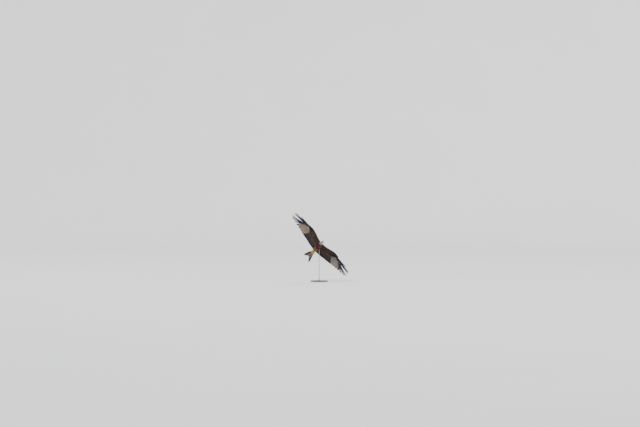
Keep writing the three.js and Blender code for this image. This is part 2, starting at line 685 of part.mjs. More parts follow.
// The bill is parted along the gape, and its hook comes down in front of the lower half
function billParts() {
  const up = new THREE.Vector3(0, 0, 1).transformDirection(headPlace);
  const gape = up.dot(new THREE.Vector3(...inHead([0, 0, GAPE_HEIGHT])));
  const above = (solid) => solid.trimByPlane(up.toArray(), gape + GAP / 2);
  const below = (solid) => solid.trimByPlane(up.clone().negate().toArray(), GAP / 2 - gape);
  const loft = (sections) => solidOverRings(sections.map((section) => headRing(section, BILL_POINTS)));
  const hook = (grow) => solidOverRings(HOOK_SECTIONS.map(([x, half, top, depth], i) => {
    const end = i === HOOK_SECTIONS.length - 1 ? grow : 0;
    const reach = (top + depth + end) / 2 + grow;
    const middle = (top - depth - end) / 2;
    const ring = headRing([x + end, half + grow, reach, reach], BILL_POINTS);
    return ring.map((p) => p.addScaledVector(up, middle));
  }));
  const nostril = (side) => ellipsoid(inHead(NOSTRIL.at, side), NOSTRIL.radii, SMALL_DETAIL);
  const nostrils = joined([1, -1].map(nostril));
  return {
    cere: above(loft(CERE_SECTIONS)).subtract(nostrils),
    beak_upper: above(loft(UPPER_BILL_SECTIONS)).add(hook(0)),
    beak_lower: below(loft(LOWER_BILL_SECTIONS)).subtract(hook(GAP)),
  };
}

// The stops of a claw: its flat root stands one gap off the toe's flat end
function clawStops({ toe, claw }) {
  const [from, to] = toe.slice(-2).map((stop) => new THREE.Vector3(...stop));
  const along = to.clone().sub(from).normalize();
  const start = [GAP, CLAW_ROOT_LENGTH].map((reach) => (
    [...to.clone().addScaledVector(along, reach).toArray(), CLAW_ROOT_RADIUS]));
  return [...start, ...claw];
}

function leg(side) {
  const place = ([x, out, z, radius]) => [x, side * out, z, radius];
  const toes = TOES.map(({ toe }) => bar(toe.map(place), TOE_SIDES));
  return {
    thigh: alongBody(THIGH, side, THIGH_SIDES).subtract(bodyGrown),
    tarsus: alongBody(TARSUS, side, SHANK_SIDES),
    foot: joined([alongBody(SOLE, side, SHANK_SIDES), ...toes]),
    claws: TOES.map((digit) => bar(clawStops(digit).map(place), TOE_SIDES)),
  };
}

// From the bird's frame into the room: it climbs towards its bill and banks half way to upright
function birdPlacing() {
  const cos = Math.cos(degrees(CLIMB));
  const sin = Math.sin(degrees(CLIMB));
  const forward = new THREE.Vector3(Math.SQRT1_2 * cos, -sin, Math.SQRT1_2 * cos);
  const leftward = new THREE.Vector3(Math.SQRT1_2, 0, -Math.SQRT1_2);
  const upward = new THREE.Vector3().crossVectors(forward, leftward);
  const attitude = new THREE.Matrix4().makeBasis(forward, leftward, upward);
  const rodTop = new THREE.Vector3(...ROD_TOP).applyMatrix4(attitude);
  attitude.setPosition(-rodTop.x, -rodTop.y, BODY_HEIGHT);
  return { placing: attitude, rodTopHeight: BODY_HEIGHT + rodTop.z };
}
const { placing, rodTopHeight } = birdPlacing();
const rodLength = rodTopHeight - BASE_THICKNESS;

// Stand pieces, turned from lathe and cylinder axes along y to upright along z
const upright = (z) => new THREE.Matrix4().makeRotationX(Math.PI / 2).setPosition(0, 0, z);

function rodCylinder(radius, extra) {
  return new THREE.CylinderGeometry(radius, radius, rodLength + extra, ROD_SIDES);
}

function standParts() {
  const base = new THREE.CylinderGeometry(
    BASE_RADIUS - BASE_DRAFT, BASE_RADIUS, BASE_THICKNESS, BASE_SIDES);
  const collar = new THREE.LatheGeometry([
    [ROD_RADIUS + GAP, 0], [COLLAR_RADIUS, 0], [COLLAR_RADIUS, COLLAR_SHOULDER],
    [ROD_RADIUS + COLLAR_LIP, COLLAR_HEIGHT], [ROD_RADIUS + GAP, COLLAR_HEIGHT], [ROD_RADIUS + GAP, 0],
  ].map(([radius, height]) => new THREE.Vector2(radius, height)), ROD_SIDES);
  return {
    base: solidFromGeometry(base, upright(BASE_THICKNESS / 2)),
    rod: solidFromGeometry(rodCylinder(ROD_RADIUS, -2 * GAP), upright(BASE_THICKNESS + rodLength / 2)),
    collar: solidFromGeometry(collar, upright(BASE_THICKNESS + GAP)),
  };
}

// The rod's socket as the bird's frame sees it
function rodSocket() {
  const inBird = placing.clone().invert().multiply(upright(BASE_THICKNESS + rodLength / 2));
  return solidFromGeometry(rodCylinder(ROD_RADIUS + GAP, 2 * GAP), inBird);
}

function wholeBird() {
  const bird = new THREE.Group();
  const socket = rodSocket();
  const { cere, beak_upper: upperBill, beak_lower: lowerBill } = billParts();
  bird.add(finish('torso', 0x8a4a2a)(torsoSolid.subtract(socket)));
  bird.add(finish('neck', 0x9a8a78)(neckSolid));
  bird.add(finish('head', 0xa9a49a)(headSolid()));
  bird.add(finish('cere', 0xd9b23a, 0.5)(cere));
  bird.add(finish('beak_upper', 0x2a2624, 0.4)(upperBill));
  bird.add(finish('beak_lower', 0x3a342c, 0.4)(lowerBill));
  for (const [sideName, pose] of Object.entries(WINGS)) {
    bird.add(finish(`eye_${sideName}`, 0xd9c27a, 0.1)(eyeBall(pose.side)));
    for (const [part, solid] of Object.entries(wingParts(pose))) {
      bird.add(finish(`wing_${sideName}_${part}`, part === 'hand' ? 0x3a3432 : 0x4a3426)(solid));
    }
    const { thigh, tarsus, foot, claws } = leg(pose.side);
    bird.add(finish(`thigh_${sideName}`, 0x8f5a32)(thigh.subtract(socket)));
    bird.add(finish(`tarsus_${sideName}`, 0xd2a62e, 0.6)(tarsus));
    bird.add(finish(`foot_${sideName}`, 0xd2a62e, 0.6)(foot));
    claws.forEach((claw, i) => bird.add(finish(`claw_${sideName}_${i + 1}`, 0x1c1a18, 0.35)(claw)));
  }
  bird.add(finish('tail', 0xa65a30)(tailSolid()));
  bird.applyMatrix4(placing);
  return bird;
}

const part = new THREE.Group();
const stand = standParts();
part.add(wholeBird());
part.add(finish('stand_base', 0x3b2a1f, 0.5)(stand.base));
part.add(finish('stand_rod', 0x8b8d90, 0.35, 1)(stand.rod));
part.add(finish('stand_collar', 0x8b8d90, 0.35, 1)(stand.collar));

export default part;
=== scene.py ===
import math
from collections import namedtuple

import bpy
import numpy as np
from mathutils import Euler, Matrix, Vector


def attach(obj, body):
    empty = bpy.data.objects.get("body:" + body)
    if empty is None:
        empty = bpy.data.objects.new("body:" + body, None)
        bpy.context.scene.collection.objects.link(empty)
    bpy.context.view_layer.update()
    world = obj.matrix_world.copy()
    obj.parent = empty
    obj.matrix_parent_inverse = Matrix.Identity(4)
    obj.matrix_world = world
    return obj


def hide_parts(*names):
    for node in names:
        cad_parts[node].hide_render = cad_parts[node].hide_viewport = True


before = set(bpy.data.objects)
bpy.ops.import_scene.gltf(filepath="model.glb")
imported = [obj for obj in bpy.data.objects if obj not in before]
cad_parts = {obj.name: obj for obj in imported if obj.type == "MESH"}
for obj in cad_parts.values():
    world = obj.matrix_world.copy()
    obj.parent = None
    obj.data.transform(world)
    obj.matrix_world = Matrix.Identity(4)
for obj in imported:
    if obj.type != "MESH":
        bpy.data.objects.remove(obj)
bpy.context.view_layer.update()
chance = np.random.default_rng(7)

# Sizes are in millimetres in the bird's own frame: x to the bill, y to its left wing, z to its back
CLIMB = math.radians(28)
BODY_HEIGHT = 720

# Stand: the rod's top in the bird's frame, sizes of its pieces, and the hole on the axis of turned pieces
ROD_TOP = (15, 5, 5)
ROD_RADIUS = 6
BASE_RADIUS = 180
BASE_THICKNESS = 26
COLLAR_RADIUS = 17
COLLAR_HEIGHT = 22
GAP = 0.3
AXIS_RADIUS = 0.1
GROOVE = ((22, 0), (23, 1.2), (25, 1.2), (26, 0))
CORNER_POINTS = 8

# Body sections: x, half width, height above the axis, depth below it; then how it turns to the neck
BODY_STATIONS = [(-172, 27, 17, 13), (-140, 34, 24, 22), (-100, 43, 33, 36), (-55, 52, 43, 51),
                 (-10, 58, 49, 61), (35, 57, 49, 60), (70, 49, 44, 48), (96, 38, 37, 33), (118, 30, 31, 24)]
BODY_RINGS = (-158, -140, -115, -90, -65, -40, -15, 10, 35, 60, 82, 102)
TURN_START = -10
TURN_SLOPE = 0.06

# Round surfaces: corners, steps between two sections, distance between rings, and least numbers
SIDES = 72
TUBE_SPANS = 12
TUBE_STEP = 2.5
FEWEST_ROWS = 8
FEWEST_ROUND = 6
NARROWEST_ROUND = 20
SKIN_DEPTH = 2.0
SKIN_VOXEL = 0.0026

# Thigh: x, distance out, z, half width, half height
THIGH_STOPS = [(-117, 23, -44, 5, 6), (-98, 26, -44, 12, 13), (-66, 31, -40, 18.5, 20.5),
               (-38, 31, -35, 15, 17), (-12, 30, -28, 9, 9)]

# Head: its place on the body, and its sections and eyes in its own frame
HEAD_AT = (129, -9, 7)
HEAD_PITCH = math.radians(5)
HEAD_TURN = math.radians(-3)
HEAD_SECTIONS = [(-14, 26, 25, 24), (0, 24.5, 24, 20), (12, 21, 21, 16), (22, 15.5, 16, 13.5),
                 (29, 10.5, 11, 11), (33, 8.5, 8.5, 9)]
EYE_AT = (15.5, 13.2, 6.2)
EYE_RADIUS = 6.3
EYE_ROWS, EYE_COLUMNS = 40, 48
LID_STOPS = 25
LID_OUT = 3.4
LID_HALVES = (5.5, 4.9)
GAZE = (0.3, 0.95, -0.02)
PUPIL = (0.003, 0.003, 0.003)
IRIS = ((0.62, 0.36, 0.05), (0.8, 0.58, 0.18))
EYE_RIM = (0.012, 0.01, 0.009)
BARE_PATCH = (18.6, 18, 6.0)
BARE_RADII = (7.4, 8, 5.2)

# Bill sections in the head's frame: x and z of the ridge, x and z of the flat edge, half width
UPPER_BILL = [(42.3, 7.1, 42.3, -3.05, 6.4), (46.5, 6.4, 46, -3.1, 5.6), (50.5, 4.7, 49.5, -3.4, 4.6),
              (54, 1.9, 52, -4.3, 3.5), (56.6, -1.6, 54, -6, 2.4), (57.8, -5.5, 56, -8, 1.4),
              (57.7, -9, 57, -9.8, 0.6), (57.4, -11.1, 57.2, -11.1, 0.1)]
LOWER_BILL = [(30.5, -9.2, 30.5, -3.35, 7.8), (33.4, -9, 33.4, -3.35, 7.2), (38, -8.8, 38, -3.35, 6.6),
              (42, -8.3, 42, -3.4, 5.6), (46, -7.8, 46, -3.5, 4.4), (49.6, -6.8, 49, -3.9, 2.8),
              (51, -5.6, 50.8, -4.7, 1)]
CERE = [(31.5, 8.9, 31.5, -3.0, 8.8), (33.4, 8.8, 33.4, -3.05, 8.5), (37, 8.6, 37, -3.05, 8.1),
        (40.5, 8.0, 40.5, -3.05, 7.3), (42.6, 7.0, 42.6, -3.0, 6.5)]
BILL_SIDES = 36
BILL_STEP = 0.7

# Round pieces of the face, in the head's frame, and of the leg: x, distance out, z, radius
GAPE_EDGE = [(22, 14.6, -4.0, 0.2), (26, 12.1, -3.6, 0.6), (31, 9.0, -3.25, 0.8), (36, 7.9, -3.2, 0.7),
             (42, 6.2, -3.2, 0.5)]
NOSTRIL = [(36.6, 7.5, 2.2, 0.5), (38, 7.35, 3.0, 1.15), (39.6, 6.95, 3.9, 0.5)]
SHANK = [(-112, 23.3, -44, 4.6), (-118, 23, -44, 4.5), (-140, 21, -42, 3.8), (-160, 19, -38, 4.6),
         (-170, 18.5, -38.5, 5.6), (-177, 18, -40, 4)]
TOE_SPREAD = 7
TOES = [([(-166, 18 + aside / 2, -40, 3.2), (-181, 18 + aside, -41, 3), (-188, 18 + aside, -46, 2.7)],
         [(-190.5, 18 + aside, -55, 1.5), (-186.5, 18 + aside, -60.5, 0.3)])
        for aside in (-TOE_SPREAD, 0, TOE_SPREAD)]
TOES.append(([(-166, 15, -41, 3.2), (-170, 11.5, -48, 3), (-175, 11, -51, 2.7)],
             [(-183, 11, -52.5, 1.6), (-188, 11, -49, 0.3)]))
TALON_ROOT = ((-0.8, 2.3), (2.5, 2.2))

# Detail of round pieces: sides, distance between rings, distance between plates or 0
FACE_DETAIL = (12, 1.0, 0)
LID_DETAIL = (10, 0.8, 0)
SHANK_DETAIL = (24, 0.8, 3.4)
TOE_DETAIL = (18, 0.6, 2.6)
TALON_DETAIL = (16, 0.5, 0)

# Each wing's pose. Places are pairs of distance out from the middle and x or height.
WINGS = {
    "left": {
        "side": 1, "sweep": 6.5, "warmth": 0.25, "pale_band": 0.55,
        "leading": [(30, 98), (60, 97), (107, 99), (177, 113), (248, 131), (330, 144), (380, 140),
                    (440, 118), (540, 90), (678, 75), (826, 30)],
        "lift": [(30, 22), (120, 31), (250, 39), (350, 43), (480, 43), (620, 42), (730, 44), (830, 50)],
        "bones": [(46, 52), (182, 50), (328, 118), (440, 101)],
    },
    "right": {
        "side": -1, "sweep": -1, "warmth": 0.62, "pale_band": 0.8,
        "leading": [(30, 99), (60, 101), (107, 109), (146, 121), (240, 152), (314, 170), (380, 171),
                    (440, 163), (540, 158), (674, 160), (826, 130)],
        "lift": [(30, 24), (120, 37), (220, 49), (316, 58), (430, 65), (560, 66), (700, 66), (830, 72)],
        "bones": [(46, 52), (181, 66), (318, 149), (434, 151)],
    },
}

# Middle surface of the wing, and how the arm lies on it
CAMBER = 12
CAMBER_CHORD = 260
CAMBER_POWER = 1.5
HAND_THINNING = 0.38
ARM_BEHIND_BONE = 15
HAND_BEHIND_BONE = 9

# Height of the arm's two faces over its middle surface, by the part of the chord
ARM_PROFILES = {1: [(0, 1.2), (0.07, 5.2), (0.25, 9.5), (0.5, 11.2), (0.78, 10.4), (1, 6.6)],
                -1: [(0, 1.8), (0.12, 5.6), (0.4, 9.2), (0.74, 9.8), (1, 6.6)]}
ARM_BACK_HEIGHT = 6.6
COVER_FADE = 70
COVER_LOWEST = 2.4
ARM_INSET = 2.5
ARM_SHARE = 0.86
ARM_STEP = 6
ARM_RINGS = 22
ARM_ENDS = (24, 6)

# Degrees back from straight out at the ends of each bone, and the reach over which the edge's own is measured
EDGE_STEP = 5
UPPER_ARM_ANGLES = (92, 89)
FOREARM_ANGLES = (88, 64)
FOREARM_POWER = 1.5

# Flight feathers, from the innermost to the outermost
LAP = 1.45
NARROWEST_SPACING = 5
VANE_THICKNESS = 0.35
VANE_DROOP = 0.02
RAGGED = 0.05
FEATHER_GRID = (26, 9)
SHAFT_RADIUS = 1.5
SHAFT_TURNS = np.arange(4) * 2 * math.pi / 3
CURL_START = 0.54
CURL_POWER = 1.5
PRIMARY_LENGTHS = [254, 266, 294, 336, 388, 444, 458, 424, 388, 252]
PRIMARY_ANGLES = [58, 48.5, 39, 30.5, 24.5, 19.8, 16, 7.5, 3.6, -2.5]
PRIMARIES = len(PRIMARY_LENGTHS)
FINGER_CURL = [0, 0, 0, 0, 5, 15, 19, 24, 18, 1]
OUTER_WEBS = [18, 16, 14, 12, 9, 8.4, 8, 7.6, 7.3, 7]
INNER_WEBS = [44, 42, 39, 34, 26, 24, 23, 22, 21, 20]
FIRST_FINGER = 4
HAND_FAN = 9
HAND_FAN_MIDDLE = 0.45
HAND_MARGINS = (5, 4)
SWEEP_RISE = 2.2
LENGTH_POWER = 1.4

# Rows of the arm: bone, distances from its ends, number, lengths, webs
ARM_ROWS = [(1, (5, 5), 13, (195, 251), (12, 28)), (0, (16, 8), 5, (198, 194), (17, 29))]

# Coverts from the greater ones to those of the leading edge: part of the chord, number, length, half width
COVERT_TIERS = [(0.8, 34, 96, 18), (0.62, 30, 66, 17), (0.5, 38, 46, 14), (0.4, 46, 36, 11.5),
                (0.31, 54, 30, 9.5), (0.23, 62, 25, 8), (0.155, 70, 20, 7), (0.09, 80, 16, 6),
                (0.035, 90, 12, 5), (0.0, 100, 8, 4)]
COVERTS_INSIDE = 16
COVERTS_SHORT = 8
SMALL_BEYOND = 10
EDGE_OVERLAP = 1.2
COVERT_LEANS = (8, 24)
COVERT_GRIDS = ((7, 5), (12, 7))
COVERT_LEVEL = 0.35
TIER_LEVEL = 0.28
TIP_RISE = 1.5
TIER_RISE = 0.1
STREAK_HALF = 0.12
FACE_NAMES = {1: "upper", -1: "under"}

# Scatter of feathers: millimetres out, degrees, and parts of the length, width and strength of colour
OUT_SCATTER = 0.8
YAW_SCATTER = 2.0
LENGTH_SCATTER = 0.05
WIDTH_SCATTER = 0.06
COVERT_TINT_SCATTER = 0.16
CONTOUR_TINT_SCATTER = 0.14
TINT_LIMITS = (0.6, 1.5)

# Coats of contour feathers: parts of the length between rows and across, its width, and how it stands off
Coat = namedtuple("Coat", "rows across width rise")
BODY_COAT = Coat(0.36, 0.4, 0.33, 0.1)
HEAD_COAT = Coat(0.34, 0.38, 0.26, 0.07)
THIGH_COAT = Coat(0.34, 0.4, 0.3, 0.09)

# Where the coats start, on the head before the bill, and how far before the bill they end
BODY_START, BODY_END = 22, 72
HEAD_START, HEAD_END = 74, 0.3
THIGH_START = 6

# Length of a contour feather by its reach, on the head by its reach before the bill
BODY_SIZES = [(0, 27), (60, 24), (150, 19), (230, 16.5), (300, 13)]
HEAD_SIZES = [(80, 15), (50, 10), (25, 6.5), (10, 4), (0, 2.8)]
THIGH_SIZES = [(0, 16), (50, 26), (110, 26)]

# Alula: lengths and webs of its feathers, and their root on the thumb, out from the wrist
ALULA_LENGTHS = [74, 92, 108]
ALULA_WEBS = (6, 13)
ALULA_OUT = 12
ALULA_BEHIND_EDGE = 17
ALULA_LEVEL = 13.2
ALULA_GRID = (16, 7)

# Map for baking: cells, a vane's half width and margin in its cell, and half the size of a small feather
MAP_COLUMNS, MAP_ROWS = 14, 9
CELL_HALF = 0.46
CELL_MARGIN = 0.04
MAP_EDGE = 0.001
MAP_DOT = 0.0015

# Outline of a feather along its length: part of the length, share of the outer and the inner web
BLADE = [(0, 0.2, 0.12), (0.1, 0.5, 0.42), (0.26, 0.85, 0.74), (0.5, 1, 1), (0.84, 1, 0.97),
         (0.93, 0.86, 0.84), (0.98, 0.5, 0.52), (1, 0.08, 0.1)]
FINGER = [(0, 0.25, 0.1), (0.14, 0.75, 0.5), (0.36, 1, 1), (0.54, 1, 0.97), (0.66, 0.97, 0.7),
          (0.91, 0.92, 0.66), (0.975, 0.74, 0.54), (1, 0.12, 0.1)]
COVERT = [(0, 0.5, 0.5), (0.4, 0.95, 0.95), (0.75, 1, 1), (0.9, 0.78, 0.8), (1, 0.14, 0.16)]
CONTOUR = [(0, 0.4), (0.3, 0.85), (0.62, 1), (0.86, 0.78), (1, 0.2)]

# Tail: sections of its root, its fan, and rows of coverts with number, length, start and height
TAIL_FACE = -160
TAIL_ROOT_SECTIONS = [(-204, 31, 4, 8), (-188, 33, 9.5, 10.5), (-172, 31, 15.5, 13.5)]
TAIL_ROOT_LENGTH = 44
TAIL_PAIRS = 6
TAIL_ROOT = -167
TAIL_ROOT_HALF = 27
TAIL_SPREAD = 19.3
TAIL_LENGTHS = (168, 252)
TAIL_FORK_POWER = 1.25
TAIL_TWIST = 26
TAIL_PITCH = -4.7
TAIL_ARCH = 1.2
TAIL_WEB = 19
TAIL_TOP = 2
TAIL_MIDDLE_GAP = 0.2
TAIL_COVERT_ROWS = [(11, 86, -165, 1), (10, 66, -158, 2.4), (9, 50, -150, 4)]
TAIL_COVERT_HALF = 9.5
TAIL_COVERT_GRID = (10, 7)
TAIL_COVERT_LEVEL = 4.5
TAIL_COVERT_FALL = {1: 0.2, -1: 0.35}
TAIL_COVERT_SLOPE = {1: 3.5, -1: 3}

# Colours of the plumage
BLUE_BLACK = (0.012, 0.015, 0.026)
SOOT = (0.022, 0.018, 0.02)
PLUM = (0.026, 0.016, 0.023)
UMBER = (0.042, 0.025, 0.019)
CHESTNUT = (0.12, 0.044, 0.022)
RUFOUS = (0.28, 0.105, 0.04)
MAROON = (0.075, 0.023, 0.018)
OCHRE = (0.25, 0.165, 0.07)
SAND = (0.33, 0.235, 0.155)
BUFF = (0.45, 0.31, 0.18)
PEARL = (0.34, 0.325, 0.305)
SLATE = (0.1, 0.1, 0.11)
ASH = (0.2, 0.205, 0.215)
CREAM = (0.7, 0.64, 0.52)
ORANGE = (0.4, 0.135, 0.04)

# Painted shade: how deep the colours lie in the shade under the bird, as a share of what the palette gives;
# the neck and the shafts are darkened on every side
PRIMARY_PAINTED_SHADE = 0.74
SECONDARY_PAINTED_SHADE = 0.66
COVERT_PAINTED_SHADE = 0.8
TAIL_PAINTED_SHADE = 0.6
BELLY_PAINTED_SHADE = 0.62
THIGH_PAINTED_SHADE = 0.55
HEAD_PAINTED_SHADE = 0.74
SHAFT_PAINTED_SHADE = 0.75
UNDER_TAIL_PAINTED_SHADE = 0.8

# Distance between dark bars, and the part of each primary's length at which its dark end starts
UPPER_BARS = 19
INNER_UPPER_BARS = 18
UNDER_BARS = 12
INNER_UNDER_BARS = 14
DARK_FROM = (0.93, 0.93, 0.9, 0.84, 0.62, 0.36, -1, -1, -1, -1)

# Studio in metres: the photo's size and scale, where the body stands in it, the dish floor and the lamps
PHOTO = (640, 427)
MM_PER_PIXEL = 20.5
BODY_AT = (318.5, 246.5)
LENS = 75
SENSOR = 36
CLIP_END = 200
FLOOR_RADIUS = 30.0
DISH_RADIUS = 52.0
DISH_HEIGHT = 40.0
DISH_SIDES = 64
DISH_RINGS = 22
FLOOR_MIDDLE = 0.02
LAMPS = [("key", (-3.2, -3.4, 5.2), 2.4, 16, (1, 0.97, 0.92)),
         ("fill", (4.2, -3.0, 1.4), 0.5, 60, (0.92, 0.96, 1)),
         ("back", (1.5, 4.2, 4.0), 1.5, 30, (1, 1, 1))]
SKY = (0.95, 0.97, 1, 1)
SKY_STRENGTH = 0.85

# Colour sockets and result of a Mix node
MIX_A, MIX_B, MIX_RESULT = 6, 7, 2

Vane = namedtuple("Vane", "number t s x out height offset length")
Row = namedtuple("Row", "roots angles lengths webs outlines curls")


def blend(a, b, share):
    """Colours or numbers between a and b, for arrays of shares."""
    share = np.clip(np.asarray(share, float), 0, 1)[..., None]
    return np.asarray(a, float) * (1 - share) + np.asarray(b, float) * share


def layered(colour, *layers):
    """A colour with others laid over it, one after the other, each by its share."""
    for other, share in layers:
        colour = blend(colour, other, share)
    return colour


def ease(low, high, value):
    """0 below low and 1 above high, with a smooth step between."""
    part = np.clip((np.asarray(value, float) - low) / (high - low), 0, 1)
    return part * part * (3 - 2 * part)


def hump(*terms):
    """1 where each value is at its centre, falling off over its width: terms of value, centre and width."""
    return np.exp(-sum(((value - centre) / width) ** 2 for value, centre, width in terms))


def unit(vectors):
    return vectors / np.maximum(np.linalg.norm(vectors, axis=-1, keepdims=True), 1e-9)


def joined(*numbers):
    """Arrays of single numbers as one array of pairs or of points."""
    return np.stack(np.broadcast_arrays(*numbers), axis=-1)


def turns_of(sides):
    """Angles of the corners of a round section."""
    return np.arange(sides) * 2 * math.pi / sides


def lengths_along(points):
    """How far along a chain of points each one lies."""
    return np.concatenate([[0], np.cumsum(np.linalg.norm(np.diff(points, axis=0), axis=1))])


def smooth_through(rows, steps):
    """A smooth curve through rows of numbers, with a number of steps from each row to the next."""
    rows = np.array(rows, float)
    last = len(rows) - 1
    fine = []
    for i in range(last):
        a, b, c, d = (rows[min(max(k, 0), last)] for k in (i - 1, i, i + 1, i + 2))
        for t in np.linspace(0, 1, steps(b, c), endpoint=False):
            fine.append(0.5 * (2 * b + (c - a) * t + (2 * a - 5 * b + 4 * c - d) * t * t
                               + (3 * b - a - 3 * c + d) * t ** 3))
    return np.array(fine + [rows[-1]])


class Curve:
    """A smooth curve through a few knots, read at many places at once."""

    def __init__(self, knots):
        self.x, self.y = (np.array(row, float) for row in zip(*knots))
        before = np.maximum(np.arange(len(knots)) - 1, 0)
        after = np.minimum(np.arange(len(knots)) + 1, len(knots) - 1)
        self.slope = (self.y[after] - self.y[before]) / (self.x[after] - self.x[before])

    def __call__(self, at):
        at = np.asarray(at, float)
        i = np.clip(np.searchsorted(self.x, at) - 1, 0, len(self.x) - 2)
        span = self.x[i + 1] - self.x[i]
        t = np.clip((at - self.x[i]) / span, 0, 1)
        start, end = self.slope[i] * span, self.slope[i + 1] * span
        step = (self.y[i + 1] - self.y[i]) * t * t * (3 - 2 * t)
        return self.y[i] + step + t * (1 - t) * ((1 - t) * start - t * end)


ARM_FACES = {face: Curve(knots) for face, knots in ARM_PROFILES.items()}


def bird_matrix():
    """From the bird's frame in millimetres to the room in metres."""
    cos, sin, half = math.cos(CLIMB), math.sin(CLIMB), math.sqrt(0.5)
    forward = Vector((half * cos, -sin, half * cos))
    leftward = Vector((half, 0, -half))
    basis = Matrix((forward, leftward, forward.cross(leftward))).transposed().to_4x4()
    top = basis @ Vector(ROD_TOP)
    return Matrix.Scale(0.001, 4) @ Matrix.Translation((-top.x, -top.y, BODY_HEIGHT)) @ basis


BIRD = bird_matrix()
ROD_LENGTH = BODY_HEIGHT + (BIRD.to_3x3() @ Vector(ROD_TOP)).z * 1000 - BASE_THICKNESS
HEAD = Matrix.Translation(HEAD_AT) @ Euler((0, HEAD_PITCH, HEAD_TURN)).to_matrix().to_4x4()


def moved(points, matrix):
    """An array of points after a 4x4 matrix."""
    numbers = np.array(matrix)
    return np.asarray(points, float) @ numbers[:3, :3].T + numbers[:3, 3]


# Shader graphs
def sums(operation):
    """A method for a sum of a link and another value, and its reflected form."""
    return (lambda self, other: self.math(operation, self, other),
            lambda self, other: self.math(operation, other, self))


class Link:
    """A node's output that takes part in sums with numbers and other links, and makes more nodes."""

    def __init__(self, tree, socket=None):
        self.tree = tree
        self.socket = socket

    def node(self, kind, settings, sockets, output=0):
        """Another node: its type, its settings, and the values or links of its sockets."""
        made = self.tree.nodes.new(kind)
        for name, value in settings.items():
            setattr(made, name, value)
        for name, value in sockets.items():
            if isinstance(value, Link):
                self.tree.links.new(value.socket, made.inputs[name])
            else:
                made.inputs[name].default_value = value
        return Link(self.tree, made.outputs[output])

    def math(self, operation, a, b=0.0):
        return self.node("ShaderNodeMath", {"operation": operation}, {0: a, 1: b})

    __add__, __radd__ = sums("ADD")
    __sub__, __rsub__ = sums("SUBTRACT")
    __mul__, __rmul__ = sums("MULTIPLY")

    def __abs__(self):
        return self.math("ABSOLUTE", self)

    def wave(self):
        """A soft wave from 0 to 1, with one period for each unit."""
        return self.math("SINE", self * (2 * math.pi)) * 0.5 + 0.5

    def between(self, low, high):
        """0 below low and 1 above high."""
        return self.node("ShaderNodeMapRange", {"interpolation_type": "SMOOTHSTEP"},
                         {"Value": self, "From Min": low, "From Max": high})

    def axis(self, number):
        """One number of a vector."""
        return self.node("ShaderNodeSeparateXYZ", {}, {0: self}, number)

    def mixed(self, a, b):
        """Colour a where this is 0, and b where it is 1."""
        a, b = (colour if isinstance(colour, Link) else (*colour, 1) for colour in (a, b))
        return self.node("ShaderNodeMix", {"data_type": "RGBA"}, {0: self, MIX_A: a, MIX_B: b}, MIX_RESULT)

    def times(self, colour):
        """This colour times another one."""
        return self.node("ShaderNodeMix", {"data_type": "RGBA", "blend_type": "MULTIPLY"},
                         {0: 1.0, MIX_A: self, MIX_B: colour}, MIX_RESULT)

    def noise(self, vector, scale, detail=3.0):
        return self.node("ShaderNodeTexNoise", {},
                         {"Vector": vector, "Scale": scale, "Detail": detail, "Roughness": 0.55})

    def stretched(self, vector, factors):
        return self.node("ShaderNodeVectorMath", {"operation": "MULTIPLY"}, {0: vector, 1: factors})

    def bumped(self, height, distance, strength):
        return self.node("ShaderNodeBump", {}, {"Height": height, "Distance": distance, "Strength": strength})

    def carried(self, name, output):
        """What the mesh carries under a name."""
        return self.node("ShaderNodeAttribute", {"attribute_name": name}, {}, output)


def new_material(name, constants, paint):
    """A material whose shader takes constants, and what paint gives for the sockets that vary."""
    material = bpy.data.materials.new(name)
    material.use_nodes = True
    shader = material.node_tree.nodes["Principled BSDF"]
    for socket, value in constants.items():
        shader.inputs[socket].default_value = value
    start = Link(material.node_tree)
    place = start.node("ShaderNodeTexCoord", {}, {}, "Object")
    for socket, link in paint(start, place).items():
        material.node_tree.links.new(link.socket, shader.inputs[socket])
    return material


def feather_paint(barb, depth, mottle):
    """Barbs that run out from the shaft, over the colours that each vane carries."""
    def paint(start, place):
        vane = start.carried("Vane", "Vector")
        ragged = start.noise(vane, 90.0, 2.0)
        barbs = ((vane.axis(1) - abs(vane.axis(0)) * 1.1) * (1 / barb) + ragged * 1.6).wave()
        patches = start.noise(place, mottle, 4.0)
        shade = barbs * 0.28 + patches.between(0.25, 0.8) * 0.5
        light = shade.mixed((0.62, 0.62, 0.62), (1.3, 1.3, 1.3))
        return {"Base Color": start.carried("Tint", "Color").times(light), "Roughness": patches * 0.2 + 0.5,
                "Normal": start.bumped(barbs, depth, 0.5)}
    return paint


def horn_paint(dark, light, scale):
    """Long faint streaks, with a fine grain in the gloss."""
    def paint(start, place):
        streaks = start.noise(start.stretched(place, (scale, scale, scale * 3)), 1.0, 5.0)
        fine = start.noise(place, scale * 9)
        return {"Base Color": streaks.between(0.3, 0.75).mixed(dark, light), "Roughness": fine * 0.25 + 0.2,
                "Normal": start.bumped(streaks, 0.0003, 0.4)}
    return paint


def scale_paint(dark, light, size):
    """Small rounded scales with darker seams."""
    def paint(start, place):
        cells = start.node("ShaderNodeTexVoronoi", {"feature": "DISTANCE_TO_EDGE"},
                           {"Vector": place, "Scale": 1 / size})
        plate = cells.between(0.02, 0.16)
        tone = start.noise(place, 0.6 / size)
        return {"Base Color": (plate * 0.75 + tone * 0.35).mixed(dark, light),
                "Roughness": 0.62 - plate * 0.18, "Normal": start.bumped(plate, 0.0004, 0.7)}
    return paint


def eye_paint(start, place):
    """Colours that the mesh carries, with a fine grain."""
    grain = start.noise(place, 2500.0)
    light = grain.mixed((0.7, 0.7, 0.7), (1.25, 1.25, 1.25))
    return {"Base Color": start.carried("Tint", "Color").times(light), "Roughness": grain * 0.1 + 0.05}


def skin_paint(start, place):
    tone = start.noise(place, 180.0, 4.0)
    return {"Base Color": tone.mixed((0.03, 0.018, 0.014), (0.07, 0.042, 0.03)),
            "Roughness": tone * 0.2 + 0.6, "Normal": start.bumped(tone, 0.0006, 0.5)}


